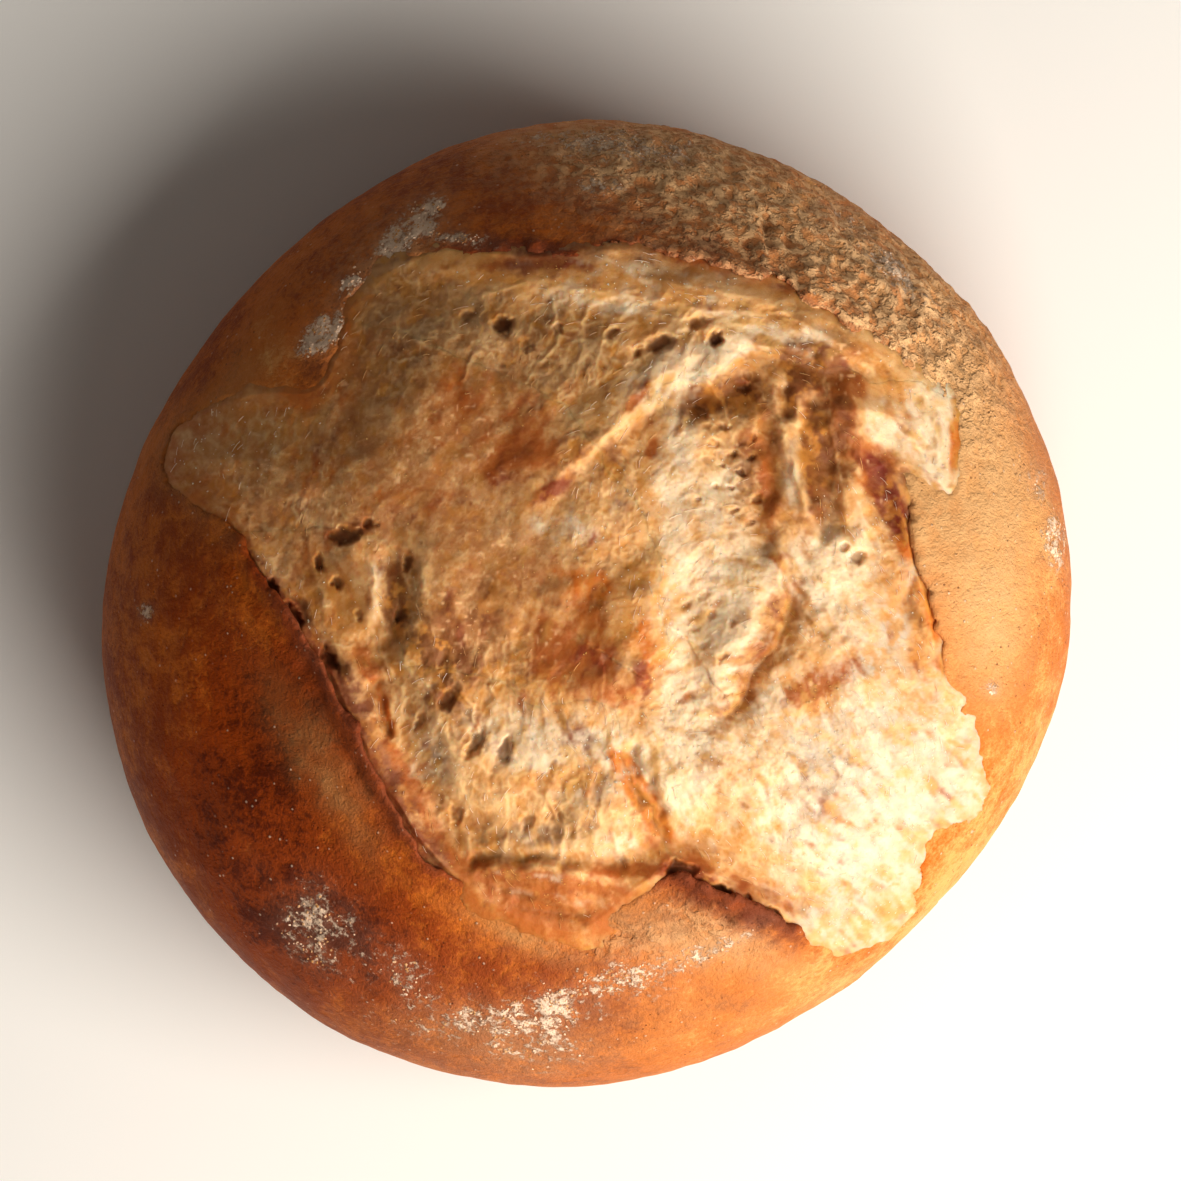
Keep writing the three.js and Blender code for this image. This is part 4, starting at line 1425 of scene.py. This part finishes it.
# Threads, bits and flakes are strewn by geometry nodes. The turn is how far each may stray, in radians,
# and least and most are the smallest and largest scale.
strands = {
    "sizes": {"perSquareMm": 0.22, "long": 1.2 * mm, "thick": 0.035 * mm, "bend": 0.08 * mm, "seed": 3},
    "turn": (0.35, 0.35, 0.45), "turnSeed": 11, "least": (0.5, 0.6, 0.6), "most": (1.7, 1.3, 1.3),
}
strewn = {"turn": (0.5, 0.5, 3.1), "turnSeed": 12, "least": (0.4, 0.4, 0.25), "most": (1.3, 1.0, 0.7)}
bits = {"sizes": {"perSquareMm": 0.8, "across": 0.13 * mm, "seed": 5}, **strewn}
flakes = {"sizes": {"perSquareMm": 2.8, "across": 0.2 * mm, "seed": 4}, **strewn}


def threadShape(make, inputs):  # a thin arc, finest at its ends
    arc = make.wire("GeometryNodeCurveQuadraticBezier", {}, {
        "Resolution": 5,
        "Start": make.wire("ShaderNodeCombineXYZ", {}, {0: inputs["long"] * -0.5}),
        "Middle": make.wire("ShaderNodeCombineXYZ", {}, {1: inputs["bend"] * 2.0, 2: inputs["bend"]}),
        "End": make.wire("ShaderNodeCombineXYZ", {}, {0: inputs["long"] * 0.5}),
    })
    ring = make.wire("GeometryNodeCurvePrimitiveCircle", {}, {"Resolution": 3, "Radius": inputs["thick"]})
    taper = make.wire("GeometryNodeSplineParameter") * 2.4 + 0.35
    width = make.wire("ShaderNodeMath", {"operation": "SINE"}, {0: taper})
    arc = make.wire("GeometryNodeSetCurveRadius", {}, {"Curve": arc, "Radius": width})
    return make.wire("GeometryNodeCurveToMesh", {},
                     {"Curve": arc, "Profile Curve": ring, "Fill Caps": True})


def varied(make, least, most, seed):
    return make.wire("FunctionNodeRandomValue", {"data_type": "FLOAT_VECTOR"},
                     {0: least, 1: most, "Seed": seed})


def shaken(make, real, amount):  # each point moved a little, so that no two bits are alike
    where = make.wire("GeometryNodeInputPosition")
    shift = make.wire("ShaderNodeTexWhiteNoise", {"noise_dimensions": "3D"}, {"Vector": where}, "Color")
    shift = make.wire("ShaderNodeVectorMath", {"operation": "SUBTRACT"}, {0: shift, 1: (0.5, 0.5, 0.5)})
    shift = make.wire("ShaderNodeVectorMath", {"operation": "SCALE"}, {0: shift, "Scale": amount})
    return make.wire("GeometryNodeSetPosition", {}, {"Geometry": real, "Offset": shift})


def scatter(name, ground, material, densityName, kind):
    tree = bpy.data.node_groups.new(name + "Nodes", "GeometryNodeTree")
    tree.interface.new_socket("Geometry", in_out="INPUT", socket_type="NodeSocketGeometry")
    tree.interface.new_socket("Geometry", in_out="OUTPUT", socket_type="NodeSocketGeometry")
    sizes = kind["sizes"]
    sockets = {}
    for key in sizes:
        sockets[key] = tree.interface.new_socket(key, in_out="INPUT", socket_type="NodeSocketFloat")
    make = NodeMaker(tree)
    given = make.add("NodeGroupInput")
    inputs = {key: Wire(make, given.outputs[key]) for key in sizes}
    density = make.wire("GeometryNodeInputNamedAttribute", {"data_type": "FLOAT"}, {"Name": densityName})
    spread = make.add("GeometryNodeDistributePointsOnFaces", {}, {
        "Mesh": Wire(make, given.outputs["Geometry"]),
        "Density": density * inputs["perSquareMm"] * (1 / mm**2),
        "Seed": inputs["seed"],
    })
    turn = make.wire("FunctionNodeAlignRotationToVector", {"axis": "Z"},
                     {"Vector": Wire(make, spread.outputs["Normal"])})
    if "long" in sizes:  # threads lie along the crumb's grain
        shape = threadShape(make, inputs)
        way = make.wire("GeometryNodeInputNamedAttribute", {"data_type": "FLOAT_VECTOR"},
                        {"Name": "grain"})
        turn = make.wire("FunctionNodeAlignRotationToVector", {"axis": "X", "pivot_axis": "Z"},
                         {"Rotation": turn, "Vector": way})
    else:
        shape = make.wire("GeometryNodeMeshIcoSphere", {},
                          {"Radius": inputs["across"], "Subdivisions": 1})
    sway = varied(make, tuple(-angle for angle in kind["turn"]), kind["turn"], kind["turnSeed"])
    sway = make.wire("FunctionNodeEulerToRotation", {}, {"Euler": sway})
    turn = make.wire("FunctionNodeRotateRotation", {"rotation_space": "LOCAL"},
                     {"Rotation": turn, "Rotate By": sway})
    size = varied(make, kind["least"], kind["most"], 13)
    points = Wire(make, spread.outputs["Points"])
    placed = make.wire("GeometryNodeInstanceOnPoints", {},
                       {"Points": points, "Instance": shape, "Rotation": turn, "Scale": size})
    real = make.wire("GeometryNodeRealizeInstances", {}, {"Geometry": placed})
    if "across" in sizes:
        real = shaken(make, real, inputs["across"] * 0.4)
    finished = make.wire("GeometryNodeSetMaterial", {}, {"Geometry": real, "Material": material})
    make.add("NodeGroupOutput", {}, {0: finished})
    piece = newObject(name, ground.data.copy())
    modifier = piece.modifiers.new(name, "NODES")
    modifier.node_group = tree
    for key, value in sizes.items():
        modifier[sockets[key].identifier] = float(value)
    plain(piece)
    print(name, "made,", triangleCount(piece), "triangles")
    return piece


studio = {
    "lens": 500,
    "keyTurn": -42,  # degrees, from the right towards the viewer
    "keyHeight": 41,
    "keyDistance": 0.5,
    "keySize": 0.5,
    "keyPower": 4.75,
    "keyTint": (1.0, 0.94, 0.85),
    "fillPlace": (-0.5, -0.35, 0.42),  # in metres from the middle of the roll's base
    "fillSize": 0.5,
    "fillPower": 0.2,
    "fillTint": (1.0, 0.92, 0.84),
    "skyStrength": 0.13,
    "skyTint": (1, 0.92, 0.82, 1),
    "floorTone": (0.92, 0.92, 0.92, 1),
    "floorReach": 3.0,
    "frameShare": 1.22,  # what the camera takes in, for one width of the roll
    "aside": (0.4, 1.4),  # how far the camera stands from the middle, in mm
    "contrast": 0.86,  # below 1, darker middle tones
}


def areaLight(name, place, size, power, tint):
    data = bpy.data.lights.new(name, "AREA")
    data.size = size
    data.energy = power
    data.color = tint
    lamp = newObject(name, data)
    lamp.location = place
    aim = Vector((middleX, middleY, rollLow.z + 30 * mm)) - Vector(place)
    lamp.rotation_euler = aim.to_track_quat("-Z", "Y").to_euler()


def makeStudio():
    turn = math.radians(studio["keyTurn"])
    height = math.radians(studio["keyHeight"])
    away = studio["keyDistance"]
    flat = away * math.cos(height)
    place = (middleX + flat * math.cos(turn), middleY + flat * math.sin(turn), away * math.sin(height))
    areaLight("keyLight", place, studio["keySize"], studio["keyPower"], studio["keyTint"])
    x, y, z = studio["fillPlace"]
    areaLight("fillLight", (middleX + x, middleY + y, z), studio["fillSize"], studio["fillPower"],
              studio["fillTint"])
    world = bpy.data.worlds.new("paleRoom")
    bpy.context.scene.world = world
    world.use_nodes = True
    world.node_tree.nodes.clear()
    make = NodeMaker(world.node_tree)
    sky = make.wire("ShaderNodeBackground", {},
                    {"Color": studio["skyTint"], "Strength": studio["skyStrength"]})
    make.add("ShaderNodeOutputWorld", {}, {"Surface": sky})
    floorMesh = bpy.data.meshes.new("floor")
    reach = studio["floorReach"]
    level = rollLow.z - 0.0002  # just clear of the roll's base
    corners = [(x * reach, y * reach, level) for x, y in ((-1, -1), (1, -1), (1, 1), (-1, 1))]
    floorMesh.from_pydata(corners, [], [(0, 1, 2, 3)])
    floor = newObject("floor", floorMesh)
    material, make = newMaterial("paleFloor")
    finishMaterial(make, {"Base Color": studio["floorTone"], "Roughness": 0.9})
    floorMesh.materials.append(material)


def makeCamera():
    data = bpy.data.cameras.new("camera")
    data.lens = studio["lens"]
    data.sensor_width = 36
    camera = newObject("camera", data)
    shownWidth = rollWidth * studio["frameShare"] * mm  # at the roll's widest level
    level = rollLow.z + form["widestHeight"] * mm
    distance = shownWidth * data.lens / data.sensor_width
    x, y = studio["aside"]
    camera.location = (middleX + x * mm, middleY + y * mm, level + distance)
    data.clip_start = 0.01
    data.clip_end = 10
    bpy.context.scene.camera = camera
    bpy.context.scene.view_settings.view_transform = "Standard"
    bpy.context.scene.view_settings.gamma = studio["contrast"]


crustPiece = paintCrust(makeCrust())
crustPiece.data.materials.append(crustMaterial())
crumbBlocks = makeCrumb()
crumbFinish = crumbMaterial()
for block in crumbBlocks:
    block.data.materials.append(crumbFinish)
ground = scatterGround()
strandFinish = strandMaterial()
flourFinish = plainMaterial("looseFlour", crustPaint["flour"], crustPaint["pale"], 1.5, 0.95)
pieces = [crustPiece] + crumbBlocks + [
    scatter("crumbStrands", ground, strandFinish, "strandDensity", strands),
    scatter("crumbBits", ground, strandFinish, "bitDensity", bits),
    scatter("flourFlakes", crustPiece, flourFinish, "flakeDensity", flakes),
]
bpy.data.objects.remove(ground)
for piece in pieces:
    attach(piece, "root")
    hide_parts("roll")

makeStudio()
makeCamera()
print("pieces done")
